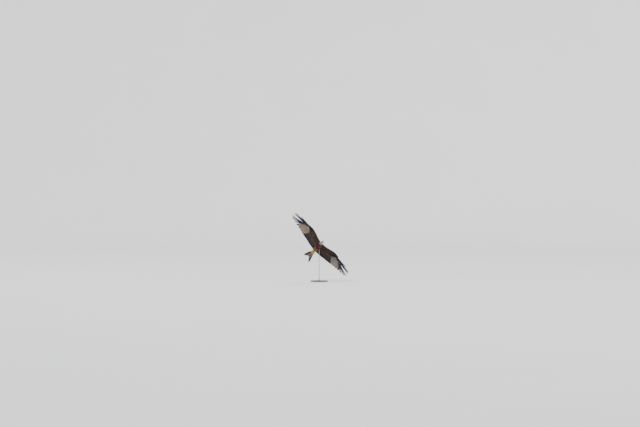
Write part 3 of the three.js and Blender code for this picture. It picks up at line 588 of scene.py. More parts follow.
def wood_paint(start, place):
    """Turned wood: rings that wander, with fine pores along the grain."""
    bend = start.noise(start.stretched(place, (3, 0.6, 3)), 1.0)
    grain = start.noise(start.stretched(place, (140, 5, 60)), 1.0, 5.0)
    rings = (place.axis(0) * 34.0 + bend * 9.0).wave()
    pores = start.noise(start.stretched(place, (900, 30, 900)), 1.0, 2.0).between(0.58, 0.72)
    colour = (rings * 0.22 + grain * 0.7).mixed((0.045, 0.024, 0.013), (0.15, 0.082, 0.042))
    return {"Base Color": (pores * 0.55).mixed(colour, (0.02, 0.012, 0.008)),
            "Roughness": grain * 0.2 + 0.3, "Normal": start.bumped(grain - pores * 0.6, 0.0003, 0.5)}


def steel_paint(start, place):
    """Fine brush marks along the upright axis."""
    brush = start.noise(start.stretched(place, (700, 700, 16)), 1.0, 4.0)
    smear = start.noise(place, 26.0)
    return {"Base Color": brush.mixed((0.25, 0.26, 0.27), (0.5, 0.51, 0.52)),
            "Roughness": brush * 0.2 + smear * 0.12 + 0.18, "Normal": start.bumped(brush, 0.0001, 0.4)}


def floor_paint(start, place):
    return {"Base Color": start.noise(place, 0.35).mixed((0.84, 0.85, 0.86), (0.9, 0.9, 0.9))}


MATERIALS = {key: new_material(name, constants, paint) for key, name, constants, paint in (
    ("flight", "flight feather", {"Specular IOR Level": 0.18}, feather_paint(0.0011, 0.00025, 60.0)),
    ("coat", "contour feather", {"Specular IOR Level": 0.08}, feather_paint(0.0009, 0.0002, 120.0)),
    ("skin", "feathered skin", {"Specular IOR Level": 0.15}, skin_paint),
    ("horn", "bill horn", {"Coat Weight": 0.3}, horn_paint((0.012, 0.011, 0.011), (0.07, 0.062, 0.055), 160)),
    ("claw", "claw horn", {"Coat Weight": 0.35},
     horn_paint((0.008, 0.007, 0.007), (0.045, 0.036, 0.03), 240)),
    ("cere", "waxy cere", {"Coat Weight": 0.15}, scale_paint((0.6, 0.4, 0.08), (0.78, 0.56, 0.12), 0.0007)),
    ("leg", "scaled leg", {"Coat Weight": 0.1}, scale_paint((0.3, 0.18, 0.04), (0.78, 0.53, 0.1), 0.0022)),
    ("eye", "eye", {"Coat Weight": 0.5, "Coat Roughness": 0.02, "Specular IOR Level": 0.3}, eye_paint),
    ("wood", "oiled wood", {"Coat Weight": 0.25, "Coat Roughness": 0.25}, wood_paint),
    ("steel", "brushed steel", {"Metallic": 1.0}, steel_paint),
    ("floor", "pale floor", {"Roughness": 0.9, "Specular IOR Level": 0.2}, floor_paint),
)}


# Meshes
def finish(piece, material, nodes=()):
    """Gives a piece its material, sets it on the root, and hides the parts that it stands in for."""
    piece.data.materials.append(MATERIALS[material])
    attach(piece, "root")
    if nodes:
        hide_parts(*nodes)


def mesh_object(name, points, quads):
    """A smooth object from points in metres and an array of four-cornered faces."""
    mesh = bpy.data.meshes.new(name)
    mesh.vertices.add(len(points))
    mesh.vertices.foreach_set("co", np.asarray(points, np.float32).ravel())
    quads = np.asarray(quads, np.int32)
    mesh.loops.add(quads.size)
    mesh.loops.foreach_set("vertex_index", quads.ravel())
    mesh.polygons.add(len(quads))
    mesh.polygons.foreach_set("loop_start", np.arange(0, quads.size, 4, dtype=np.int32))
    mesh.polygons.foreach_set("use_smooth", np.ones(len(quads), bool))
    mesh.update(calc_edges=True)
    piece = bpy.data.objects.new(name, mesh)
    bpy.context.scene.collection.objects.link(piece)
    return piece


def add_tints(mesh, tints):
    """Gives the points of a mesh their colours."""
    colours = np.concatenate([tints, np.ones((len(tints), 1))], axis=1)
    layer = mesh.color_attributes.new(name="Tint", type="FLOAT_COLOR", domain="POINT")
    layer.data.foreach_set("color", colours.astype(np.float32).ravel())


def sheet_quads(rows, columns, closed=False):
    """Faces of a grid of points, wrapped round its columns if closed."""
    i, j = np.meshgrid(np.arange(rows - 1), np.arange(columns if closed else columns - 1), indexing="ij")
    here, right = i * columns + j, i * columns + (j + 1) % columns
    return np.stack([here, right, right + columns, here + columns], -1).reshape(-1, 4)


def capped(grid):
    """Points and faces of a tube of rings, with each end drawn together into its middle."""
    sides = grid.shape[1]
    start, end = (grid[[k]].mean(axis=1, keepdims=True).repeat(sides, 1) for k in (0, -1))
    return np.concatenate([start, grid, end]).reshape(-1, 3), sheet_quads(len(grid) + 2, sides, True)


class Plumage:
    """Vanes gathered into one mesh. Points have a colour, a place on their vane and one on the bake map."""

    def __init__(self):
        self.parts = []
        self.count = 0

    def add(self, points, tints, vanes, patches):
        """One vane or many alike ones: arrays of shape (row, column, ...) or (vane, row, column, ...)."""
        rows, columns = points.shape[-3:-1]
        number = points.size // (3 * rows * columns)
        starts = self.count + np.arange(number) * rows * columns
        quads = sheet_quads(rows, columns) + starts[:, None, None]
        tints = np.broadcast_to(tints, points.shape)
        self.parts.append((points.reshape(-1, 3), quads.reshape(-1, 4), tints.reshape(-1, 3),
                           vanes.reshape(-1, 2), patches.reshape(-1, 2)))
        self.count += number * rows * columns

    def build(self, name, material, nodes=()):
        """Makes the object, with the place on each vane in metres."""
        points, quads, tints, vanes, patches = (np.concatenate(part) for part in zip(*self.parts))
        piece = mesh_object(name, moved(points, BIRD), quads)
        mesh = piece.data
        add_tints(mesh, tints)
        vanes = np.concatenate([vanes * 0.001, np.zeros((len(points), 1))], axis=1)
        places = mesh.attributes.new(name="Vane", type="FLOAT_VECTOR", domain="POINT")
        places.data.foreach_set("vector", vanes.astype(np.float32).ravel())
        corners = np.clip(patches, MAP_EDGE, 1 - MAP_EDGE)[quads.ravel()]
        mesh.uv_layers.new(name="OFBake").data.foreach_set("uv", corners.astype(np.float32).ravel())
        finish(piece, material, nodes)


class Tube:
    """A round surface over rings of points, read at any part of its length and turn."""

    def __init__(self, rings, step):
        fine = smooth_through(rings, lambda start, end: TUBE_SPANS)
        reach = lengths_along(fine.mean(axis=1))
        self.length = reach[-1]
        rows = max(int(self.length / step), FEWEST_ROWS)
        at = np.interp(np.linspace(0, self.length, rows), reach, np.arange(len(fine)))
        low = np.minimum(at.astype(int), len(fine) - 2)
        part = (at - low)[:, None, None]
        self.grid = fine[low] * (1 - part) + fine[low + 1] * part
        self.rows, self.sides = self.grid.shape[:2]
        self.perimeter = np.linalg.norm(self.grid - np.roll(self.grid, 1, axis=1), axis=2).sum(axis=1)
        around = np.roll(self.grid, -1, axis=1) - np.roll(self.grid, 1, axis=1)
        normals = unit(np.cross(np.gradient(self.grid, axis=0), around))
        outward = self.grid - self.grid.mean(axis=1, keepdims=True)
        self.normals = normals * np.sign((normals * outward).sum())

    def at(self, reach, turn, height):
        """Points at a reach from the first ring, a turn in sides and a height over the surface."""
        u = np.clip(reach / self.length * (self.rows - 1), 0, self.rows - 1.001)
        turn = np.mod(turn, self.sides)
        i, j = u.astype(int), turn.astype(int) % self.sides
        k = (j + 1) % self.sides
        f, g = (u - i)[..., None], (turn - np.floor(turn))[..., None]

        def read(values):
            near = values[i, j] * (1 - g) + values[i, k] * g
            far = values[i + 1, j] * (1 - g) + values[i + 1, k] * g
            return near * (1 - f) + far * f

        return read(self.grid) + read(self.normals) * np.asarray(height)[..., None]

    def perimeter_at(self, reach):
        return np.interp(reach / self.length * (self.rows - 1), np.arange(self.rows), self.perimeter)

    def shell(self, height):
        """The surface's own points and faces at a height, with both ends closed."""
        return capped(self.grid + self.normals * height)


# Body, neck and head as one tube from the root of the tail to the bill
body_half, body_top, body_depth = (Curve([(s[0], s[k]) for s in BODY_STATIONS]) for k in (1, 2, 3))
TURNS = turns_of(SIDES)


def ring(x, half, top, depth, middle=0.0):
    """An upright section at x: half its width, its height above the axis and its depth below."""
    height = np.where(np.sin(TURNS) > 0, top, depth) * np.sin(TURNS)
    return joined(float(x), middle + half * np.cos(TURNS), height)


def body_ring(x):
    return ring(x, body_half(x), body_top(x), body_depth(x), -TURN_SLOPE * max(x - TURN_START, 0))


def tail_place(points, share=1.0):
    """Points of the level fan turned about the body's axis and pitched, as the tail steers."""
    x, y, z = np.moveaxis(points, -1, 0)
    angle = -math.radians(TAIL_TWIST) * share
    sin, cos = math.sin(angle), math.cos(angle)
    rise = math.tan(math.radians(-TAIL_PITCH)) * (TAIL_FACE - x)
    return joined(x, y * cos - z * sin, y * sin + z * cos + rise)


# Wing surfaces
class Wing:
    """One wing's middle surface, its arm and the fan of directions in which feathers lie."""

    def __init__(self, name, pose):
        self.name = name
        self.side, self.sweep, self.warmth, self.pale_band = (
            pose[key] for key in ("side", "sweep", "warmth", "pale_band"))
        self.front = Curve(pose["leading"])
        self.lift = Curve(pose["lift"])
        self.outs, self.backs = (np.array(row, float) for row in zip(*pose["bones"]))
        self.shoulder, self.elbow, self.wrist, self.tip = self.outs

    def surface(self, x, out):
        behind = np.maximum(self.front(out) - x, 0)
        return self.lift(out) - CAMBER * (behind / CAMBER_CHORD) ** CAMBER_POWER

    def bone(self, out):
        slope = (self.backs[-1] - self.backs[-2]) / (self.tip - self.wrist)
        return np.interp(out, self.outs, self.backs) + np.maximum(out - self.tip, 0) * slope

    def along_hand(self, out):
        """0 up to the wrist and 1 at the end of the bones."""
        return np.maximum(out - self.wrist, 0) / (self.tip - self.wrist)

    def thin(self, out):
        """Thickness of the arm as a share of what it is at the wrist."""
        return 1 - HAND_THINNING * self.along_hand(out)

    def chord(self, out):
        """From the leading edge to the back of the arm."""
        behind = ARM_BEHIND_BONE - (ARM_BEHIND_BONE - HAND_BEHIND_BONE) * self.along_hand(out)
        return self.front(out) - (self.bone(out) - behind)

    def cover(self, x, out, face):
        """Height of the arm's face over the middle surface, falling off behind the arm."""
        chord = self.chord(out)
        part = (self.front(out) - x) / chord
        behind = np.maximum(part - 1, 0) * chord
        height = ARM_FACES[face](np.clip(part, 0, 1)) * self.thin(out)
        return height - np.minimum(behind / COVER_FADE, 1) * (ARM_BACK_HEIGHT * self.thin(out) - COVER_LOWEST)

    def place(self, x, out, height):
        return joined(x, self.side * out, self.surface(x, out) + height)

    def edge_angle(self, out):
        """Degrees by which the leading edge runs back from straight out."""
        rise = self.front(out - EDGE_STEP) - self.front(out + EDGE_STEP)
        return np.degrees(np.arctan(rise / (2 * EDGE_STEP)))

    def angle(self, out):
        """Degrees back from straight out, for a feather rooted at a distance out."""
        out = np.asarray(out, float)
        bones = zip(self.outs, self.outs[1:])
        upper, fore, hand = (np.clip((out - near) / (far - near), 0, 1) for near, far in bones)
        upper = UPPER_ARM_ANGLES[0] - (UPPER_ARM_ANGLES[0] - UPPER_ARM_ANGLES[1]) * upper
        fore = FOREARM_ANGLES[0] - (FOREARM_ANGLES[0] - FOREARM_ANGLES[1]) * fore ** FOREARM_POWER
        fan = np.interp(hand * (PRIMARIES - 1), np.arange(PRIMARIES), PRIMARY_ANGLES)
        hand = fan + self.sweep * np.minimum(hand * SWEEP_RISE, 1)
        return np.where(out < self.elbow, upper, np.where(out < self.wrist, fore, hand))


# Feathers of the wing
def shares(outline, t):
    """The outer and inner web's share of their width along a feather."""
    return [Curve([(knot[0], knot[k]) for knot in outline])(t) for k in (1, 2)]


def cell(index, across, along):
    """A vane's place on a map that is divided into cells."""
    return joined((index % MAP_COLUMNS + 0.5 + CELL_HALF * across) / MAP_COLUMNS,
                  (index // MAP_COLUMNS + CELL_MARGIN + (1 - 2 * CELL_MARGIN) * along) / MAP_ROWS)


def grid_parts(rows, columns):
    """Parts along and across a vane, closer together at the tip and at the shaft."""
    t = 1 - (1 - np.linspace(0, 1, rows)) ** 1.25
    s = np.linspace(-1, 1, columns)
    return np.meshgrid(t, np.sign(s) * np.abs(s) ** 1.15, indexing="ij")


def lay_row(row, grid=FEATHER_GRID):
    """Feathers laid like slats, one after the other."""
    t, s = grid_parts(*grid)
    backs = [math.radians(angle) for angle in row.angles]

    def shaft(k):
        x, out = row.roots[k]
        return x - math.sin(backs[k]) * row.lengths[k] * t, out + math.cos(backs[k]) * row.lengths[k] * t

    for k, back in enumerate(backs):
        sin, cos = math.sin(back), math.cos(back)
        x, out = shaft(k)
        beside = [shaft(other) for other in (k - 1, k + 1) if 0 <= other < len(backs)]
        apart = np.min([np.abs((other_x - x) * cos + (other_out - out) * sin)
                        for other_x, other_out in beside], axis=0)
        outer, inner = shares(row.outlines[k], t)
        offset = np.where(s > 0, row.webs[k][0] * outer * s, row.webs[k][1] * inner * s)
        offset = offset * (1 - RAGGED * chance.random(t.shape) * (np.abs(s) > 0.9) * (t > 0.3))
        height = (LAP / np.maximum(apart, NARROWEST_SPACING)) * offset
        height = height + row.curls[k] * np.maximum((t - CURL_START) / (1 - CURL_START), 0) ** CURL_POWER
        height = height - VANE_DROOP * np.abs(offset) * np.abs(s)
        yield Vane(k, t, s, x + cos * offset, out + sin * offset, height, offset, row.lengths[k])


def bars(vane, spacing, sharp=0.5):
    """Dark bars across a vane, 0 to 1."""
    wave = np.sin(vane.t * vane.length / spacing * 2 * math.pi)
    return ease(sharp - 0.35, sharp + 0.35, wave * 0.5 + 0.5)


def paint_primary(warmth):
    """Primaries: barred below and dark brown above, with dark fingers, and a warmth of the pale part."""
    def paint(vane, face):
        k, t, s = vane[:3]
        if face > 0:
            return layered(UMBER, (SOOT, ease(0.2, 0.7, t + 0.05 * k)),
                           (CHESTNUT, 0.22 * bars(vane, UPPER_BARS) * (s < 0) * (t < 0.75)),
                           (BUFF, 0.25 * ease(0.9, 1, np.abs(s)) * (k <= FIRST_FINGER)))
        warm = warmth + chance.normal(0, 0.1) + 0.3 * ease(0.75, 0.4, np.abs(t - 0.45) * 2)
        pale = layered(ASH, (SAND, warm),
                       (UMBER, 0.42 * bars(vane, UNDER_BARS, 0.6) * ease(0.12, 0.3, t)),
                       (PEARL, 0.5 * ease(0.55, 0.9, t) * (s < 0) * (k < FIRST_FINGER)),
                       (SLATE, 0.55 * (s > 0.12)))
        dark = ease(DARK_FROM[k] - 0.04, DARK_FROM[k] + 0.1, t)
        # The pale part below is darkened by painted shade.
        return blend(pale * PRIMARY_PAINTED_SHADE, SOOT if k < FIRST_FINGER else BLUE_BLACK, dark)
    return paint


def paint_secondary(vane, face):
    """Secondaries and tertials."""
    t, s = vane.t, vane.s
    if face > 0:
        warm = 0.2 * bars(vane, INNER_UPPER_BARS) * (s < 0)
        return layered(UMBER, (SOOT, ease(0.3, 0.9, t)), (CHESTNUT, warm), (BUFF, 0.35 * ease(0.93, 1, t)))
    dark = 0.55 * bars(vane, INNER_UNDER_BARS) * ease(0.2, 0.4, t) * (t < 0.85)
    # Painted shade darkens the whole underside.
    return layered(SLATE, (PLUM, 0.78 + 0.2 * ease(0.7, 0.9, t)), (SOOT, dark)) * SECONDARY_PAINTED_SHADE


def paint_alula(vane, face):
    return blend(UMBER, SOOT, ease(0.2, 0.9, vane.t))


def add_flight_feather(plumage, place, index, vane, paint):
    """Both faces of one flight feather and the round shaft along its middle."""
    t, s = vane.t, vane.s
    for face in (1, -1):
        rise = face * VANE_THICKNESS * (1 - 0.9 * np.abs(s) ** 3) * (1 - 0.6 * t)
        points = place(vane.x, vane.out, vane.height + rise)
        plumage.add(points, paint(vane, face), joined(vane.offset, t * vane.length),
                    cell(index * 2 + (face > 0), s, t))
    t = t[:, :len(SHAFT_TURNS)]
    radius = SHAFT_RADIUS * (1 - 0.85 * t)
    middle = [s.shape[1] // 2]
    aside = radius * np.cos(SHAFT_TURNS) * 0.7
    shaft = place(vane.x[:, middle] + aside, vane.out[:, middle] + aside,
                  vane.height[:, middle] + radius * np.sin(SHAFT_TURNS))
    # Painted shade darkens the shafts on both faces.
    tint = blend(CREAM, UMBER, ease(0.1, 0.8, t)) * SHAFT_PAINTED_SHADE
    plumage.add(shaft, tint, joined(0 * t, 0 * t), cell(index * 2, 0, t))


def flight_feathers(wing):
    """Primaries, secondaries and tertials of one wing."""
    part = np.linspace(0, 1, PRIMARIES)
    outs = np.linspace(wing.wrist + HAND_MARGINS[0], wing.tip - HAND_MARGINS[1], PRIMARIES)
    roots = list(zip(wing.bone(outs) + HAND_FAN * (part - HAND_FAN_MIDDLE), outs))
    angles = PRIMARY_ANGLES + wing.sweep * np.minimum(part * SWEEP_RISE, 1)
    outlines = [BLADE] * FIRST_FINGER + [FINGER] * (PRIMARIES - FIRST_FINGER)
    webs = list(zip(OUTER_WEBS, INNER_WEBS))
    groups = [(Row(roots, angles, PRIMARY_LENGTHS, webs, outlines, FINGER_CURL), paint_primary(wing.warmth))]
    for bone, margins, number, (inner, outer), webs in ARM_ROWS:
        outs = np.linspace(wing.outs[bone] + margins[0], wing.outs[bone + 1] - margins[1], number)
        lengths = inner + (outer - inner) * np.linspace(0, 1, number) ** LENGTH_POWER
        row = Row(list(zip(wing.bone(outs), outs)), wing.angle(outs), lengths,
                  [webs] * number, [BLADE] * number, [0] * number)
        groups.append((row, paint_secondary))
    plumage = Plumage()
    vanes = ((vane, paint) for row, paint in groups for vane in lay_row(row))
    for index, (vane, paint) in enumerate(vanes):
        add_flight_feather(plumage, wing.place, index, vane, paint)
    nodes = [f"wing_{wing.name}_{part}" for part in ("upper_arm", "forearm", "hand")]
    plumage.build(f"wing_{wing.name}_flight_feathers", "flight", nodes)


def alula(wing):
    """The small stiff feathers of the thumb."""
    plumage = Plumage()
    number = len(ALULA_LENGTHS)
    out = wing.wrist + ALULA_OUT
    x = wing.front(out + 2) - ALULA_BEHIND_EDGE
    roots = [(x + 3 * k, out) for k in range(number)]
    angles = [9 + wing.sweep * 0.8 - 3.5 * k for k in range(number)]
    row = Row(roots, angles, ALULA_LENGTHS, [ALULA_WEBS] * number, [COVERT] * number, [0] * number)
    for vane in lay_row(row, ALULA_GRID):
        vane = vane._replace(height=vane.height + ALULA_LEVEL)
        add_flight_feather(plumage, wing.place, vane.number, vane, paint_alula)
    plumage.build(f"wing_{wing.name}_alula_feathers", "flight", (f"wing_{wing.name}_alula",))


def paint_covert(wing, face, tier, outs, t, s):
    """Colour of a wing covert by its face, its tier and its place along the wing."""
    wobble = chance.random((len(outs), 1, 1))
    along = ((outs - wing.shoulder) / (wing.tip - wing.shoulder))[:, None, None]
    centre = 1 - ease(0.1, 0.75, np.abs(s))
    edge = ease(0.6, 0.95, np.maximum(np.abs(s), t))
    hand = ease(0.62, 0.72, along)
    if face > 0:
        pale = hump((along, 0.34, 0.2)) * (0.75 if tier in (1, 2) else 0.2)
        return layered(UMBER, (SOOT, centre * 0.8), (BUFF, pale * (0.35 + 0.65 * edge)),
                       (RUFOUS, edge * (0.35 + 0.3 * wobble)))
    # Below the wing every tier is darkened by painted shade.
    if tier == 0:
        band = hump((along, 0.77, 0.07)) * ease(0.35, 0.75, t)
        return COVERT_PAINTED_SHADE * layered(
            UMBER, (PLUM, 0.55 + 0.3 * wobble), (BLUE_BLACK, 0.75 * hand),
            (SAND, 0.22 * edge * (1 - hand)), (PEARL, wing.pale_band * band))
    mottle = hump((along, 0.52, 0.17)) * (tier < 5) * ease(0.45, 0.75, wobble)
    return COVERT_PAINTED_SHADE * layered(
        UMBER, (SOOT, centre * 0.8 + 0.45 * wobble), (CHESTNUT, edge * 0.16 * (1 - hand)),
        (RUFOUS, (0.1 + 0.38 * edge) * mottle * (1 - hand)),
        (CHESTNUT, 0.25 * edge * (1 - ease(0.05, 0.2, along))),
        (BLUE_BLACK, 0.9 * hand * (0.8 + 0.2 * wobble)))


def scattered(tints, number, spread):
    """Colours with a strength of its own for each of a number of feathers."""
    return tints * (1 + spread * chance.normal(size=(number, 1, 1, 1))).clip(*TINT_LIMITS)


def covert_sheet(wing, face):
    """All coverts of one face of a wing, from the greater ones to the small ones of the leading edge."""
    plumage = Plumage()
    first, last = wing.shoulder - COVERTS_INSIDE, wing.tip - COVERTS_SHORT
    for tier, (part, number, long, half) in enumerate(COVERT_TIERS):
        large, small = tier < 2, tier > 2
        outs = np.linspace(first, last + SMALL_BEYOND * small, number) + chance.normal(0, OUT_SCATTER, number)
        t, s = grid_parts(*COVERT_GRIDS[large])
        lowest = wing.edge_angle(outs) + COVERT_LEANS[small]
        degrees = np.maximum(wing.angle(outs), lowest) + chance.normal(0, YAW_SCATTER, number)
        back = np.radians(degrees)[:, None, None]
        length = long * (1 + chance.normal(0, LENGTH_SCATTER, number))
        length = (length * (1 - 0.25 * ease(wing.tip - 60, wing.tip, outs)))[:, None, None]
        root = (wing.front(outs) - part * wing.chord(outs) + EDGE_OVERLAP * (part == 0))[:, None, None]
        outer, inner = shares(COVERT, t)
        offset = half * np.where(s > 0, outer, inner) * s
        offset = offset * (1 + WIDTH_SCATTER * chance.normal(size=(number, 1, 1)))
        x = root - np.sin(back) * length * t + np.cos(back) * offset
        out = outs[:, None, None] + np.cos(back) * length * t + np.sin(back) * offset
        height = wing.cover(x, out, face) + COVERT_LEVEL + TIER_LEVEL * tier
        height = height + (TIP_RISE - TIER_RISE * tier) * t - 0.5 * np.abs(s) ** 2 * t
        height = height + offset / half * 0.5 + chance.random((number, 1, 1)) * 0.4
        height = height * ease(-2, 9, wing.front(out) - x)
        tint = scattered(paint_covert(wing, face, tier, outs, t, s), number, COVERT_TINT_SCATTER)
        tint = blend(tint, SOOT, (np.abs(s) < STREAK_HALF) * 0.45)
        middle = 0.02 + 0.96 * ((outs - first) / (last - first))[:, None, None]
        wide, tall = (0.4 / number, 0.035) if large else (MAP_DOT, MAP_DOT)
        patch = joined(middle + wide * s, 0.05 + 0.09 * tier + tall * (2 * t - 1))
        plumage.add(wing.place(x, out, face * height), tint, joined(offset, t * length), patch)
    plumage.build(f"wing_{wing.name}_{FACE_NAMES[face]}_coverts", "coat", ())


def arm_tube(wing):
    """The arm's skin from the shoulder to the end of the hand."""
    turns = np.linspace(0, 2 * math.pi, SIDES, endpoint=False)
    part = (1 - np.cos(turns)) / 2
    face = np.where(np.sin(turns) >= 0, 1, -1)
    profile = face * np.where(face > 0, ARM_FACES[1](part), ARM_FACES[-1](part))
    rings = []
    for out in np.linspace(ARM_ENDS[0], wing.tip + ARM_ENDS[1], ARM_RINGS):
        x = wing.front(out) - ARM_INSET - part * (wing.chord(out) - ARM_INSET)
        rings.append(wing.place(x, np.full(SIDES, out), profile * wing.thin(out) * ARM_SHARE))
    return Tube(rings, ARM_STEP)


# Tail
def paint_tail(vane, face):
    """Rufous above with a dark corner, greyer and paler below."""
    k, t, s = vane[:3]
    outermost = k == TAIL_PAIRS - 1
    corner = ease(0.72, 0.98, t) * (1 if k > 3 else 0.25)
    if face > 0:
        barred = 0.45 * bars(vane, UNDER_BARS) * (s < -0.2) * 0.6
        return layered(ORANGE, (RUFOUS, 0.3 + 0.4 * t), (UMBER, barred), (UMBER, 0.8 * (s > 0) * outermost),
                       (SOOT, corner * 0.85))
    base = layered(SAND, (RUFOUS, (0.7 if k < 3 else 0.4) - 0.15 * t),
                   (SLATE, 0.35 + 0.3 * bars(vane, UNDER_BARS)))
    dark = 0.96 * ease(-1, -0.85, s) if outermost else 0.6 * (k == TAIL_PAIRS - 2) * (s > 0)
    # The underside's base colour is darkened by painted shade.
    return layered(base * TAIL_PAINTED_SHADE, (CREAM, 0.6 * ease(0.86, 1, t) * (0 < k < TAIL_PAIRS - 1)),
                   (SOOT, corner * (0.5 if k > 3 else 0.05)), (BLUE_BLACK, dark))


def fan_places(x, out, back, length, t, offset):
    """Places in plan on a vane of the tail that runs back and out from its root."""
    return (x - math.cos(back) * length * t + math.sin(back) * offset,
            out + math.sin(back) * length * t + math.cos(back) * offset)


def tail_feathers():
    """The fan, from the middle pair outwards on one side and then on the other."""
    plumage = Plumage()
    t, s = grid_parts(*FEATHER_GRID)
    outer, inner = shares(BLADE, t)
    for side in (1, -1):
        def place(x, out, rise):
            return tail_place(joined(x, side * out, rise))

        for pair in range(TAIL_PAIRS):
            share = (pair + 0.5) / TAIL_PAIRS
            fork = (pair / (TAIL_PAIRS - 1)) ** TAIL_FORK_POWER
            length = TAIL_LENGTHS[0] + (TAIL_LENGTHS[1] - TAIL_LENGTHS[0]) * fork
            offset = np.where(s > 0, (TAIL_WEB - 8 * share) * outer * s, (TAIL_WEB + 11 * share) * inner * s)
            back = math.radians(TAIL_SPREAD * share)
            x, out = fan_places(TAIL_ROOT, TAIL_ROOT_HALF * share, back, length, t, offset)
            if pair > 0:
                out = np.maximum(out, TAIL_MIDDLE_GAP)
            level = TAIL_TOP - (pair + (pair > 0 or side < 0)) * TAIL_ARCH
            vane = Vane(pair, t, s, x, out, level - 0.015 * offset, offset, length)
            add_flight_feather(plumage, place, pair + TAIL_PAIRS * (side < 0), vane, paint_tail)
    plumage.build("tail_feathers", "flight", ("tail",))


def tail_coverts(face):
    """Coverts over one face of the root of the fan."""
    plumage = Plumage()
    t, s = grid_parts(*TAIL_COVERT_GRID)
    outer, inner = shares(COVERT, t)
    offset = TAIL_COVERT_HALF * np.where(s > 0, outer, inner) * s
    for tier, (number, long, start, level) in enumerate(TAIL_COVERT_ROWS):
        for k in range(number):
            share = 2 * k / (number - 1) - 1
            length = long * (1 - TAIL_COVERT_FALL[face] * abs(share)) * (1 + LENGTH_SCATTER * chance.normal())
            back = math.radians(TAIL_SPREAD * 0.72 * share)
            x, out = fan_places(start, TAIL_ROOT_HALF * 0.9 * share, back, length, t, offset)
            height = TAIL_COVERT_LEVEL + level + (1 - abs(share)) * 2
            height = height + TAIL_COVERT_SLOPE[face] * (1 - t) - 0.4 * np.abs(s)
            # The under tail coverts are darkened by painted shade.
            under = blend(SAND, OCHRE, 0.5 + 0.3 * chance.random()) * UNDER_TAIL_PAINTED_SHADE
            base = blend(RUFOUS, ORANGE, 0.4 * chance.random()) if face > 0 else under
            tint = blend(base, UMBER, 0.5 * (np.abs(s) < STREAK_HALF))
            patch = joined(0.1 + 0.8 * k / number + 0.03 * s, 0.2 + 0.25 * tier + 0.1 * t)
            plumage.add(tail_place(joined(x, out, face * height)), tint, joined(offset, t * length), patch)
    plumage.build(f"tail_{FACE_NAMES[face]}_coverts", "coat", ())


# Contour feathers of the body, neck, head and thighs
def paint_trunk(places, under):
    """Colour of a contour feather by its place and by how far under the body it lies."""
    x, y = places[:, 0], places[:, 1]
    back = blend(blend(UMBER, CHESTNUT, 0.45), RUFOUS, 0.22 * ease(-90, 20, x))
    belly = layered(OCHRE, (blend(ORANGE, CHESTNUT, 0.35), ease(-128, -96, x)), (MAROON, ease(-62, -18, x)),
                    (PLUM, 0.5 * ease(-5, 30, x) * (1 - ease(62, 88, x))))
    # The belly is darkened by painted shade.
    belly = layered(belly * BELLY_PAINTED_SHADE, (RUFOUS, 0.65 * hump((x, 50, 24), (y, 36, 18))),
                    # The cream patch on the right flank near the vent is painted sunlight.
                    (CREAM, 0.9 * hump((x, -122, 24)) * ease(14, 27, -y)))
    body = blend(back, belly, ease(-0.35, 0.35, under))
    # The neck is darkened by painted shade on every side.
    neck = blend(blend(ASH, PEARL, 0.55), RUFOUS, 0.5 * (1 - ease(88, 122, x))) * HEAD_PAINTED_SHADE
    return blend(body, neck, ease(82, 112, x))


def contour_rows(tube, start, stop, sizes, coat):
    """Staggered roots over a tube: reaches, turns and feather lengths."""
    reaches, turns, lengths = [], [], []
    size = Curve(sizes)
    reach = start
    shift = 0.0
    while reach < stop:
        length = float(size(reach))
        number = max(int(tube.perimeter_at(reach) / (length * coat.across)), FEWEST_ROUND)
        even = (np.arange(number) + shift) * tube.sides / number
        turns.append(even + chance.normal(0, 0.12 * tube.sides / number, number))
        reaches.append(reach + chance.normal(0, 0.08 * length, number))
        lengths.append(np.full(number, length) * (1 + 0.08 * chance.normal(size=number)))
        shift = 0.5 - shift
        reach += length * coat.rows
    return [np.concatenate(values) for values in (reaches, turns, lengths)]


def under_side(turns):
    """1 under the body and -1 on its back, for turns in sides."""
    return -np.sin(turns / SIDES * 2 * math.pi)


def lay_contours(plumage, tube, feathers, coat, map_start=0.0, map_width=1.0):
    """Small feathers along a tube's surface, each with a dark shaft streak and a paler edge."""
    reaches, turns, lengths, tints, streak, level = feathers
    t, s = np.meshgrid([knot[0] for knot in CONTOUR], [-1, -0.5, 0, 0.5, 1], indexing="ij")
    number = len(reaches)
    yaw = chance.normal(0, 0.1, number)
    yaw, length, reach, turn, streak, level = (
        values[:, None, None] for values in (yaw, lengths, reaches, turns, streak, level))
    offset = Curve(CONTOUR)(t) * s * length * coat.width
    across = np.cos(yaw) * offset - np.sin(yaw) * length * t
    reach = reach - (np.cos(yaw) * length * t + np.sin(yaw) * offset)
    turn = turn + across * tube.sides / np.maximum(tube.perimeter_at(reach), NARROWEST_ROUND)
    loose = chance.random((number, 1, 1)) * 0.05
    points = tube.at(reach, turn, level + (coat.rise + loose) * length * t - 0.05 * length * s ** 2 * t)
    edge = ease(0.5, 1.0, np.maximum(np.abs(s), t))
    colour = scattered(tints[:, None, None, :], number, CONTOUR_TINT_SCATTER) * (1 + 0.35 * edge[..., None])
    colour = blend(colour, SOOT, streak * (np.abs(s) < 0.3) * (t > 0.2))
    u = map_start + map_width * np.mod(turns / tube.sides, 1)[:, None, None]
    v = np.clip(reaches / tube.length, 0, 1)[:, None, None]
    patch = joined(u + MAP_DOT * s, v + MAP_DOT * (2 * t - 1))
    plumage.add(points, colour, joined(offset, length * t), patch)


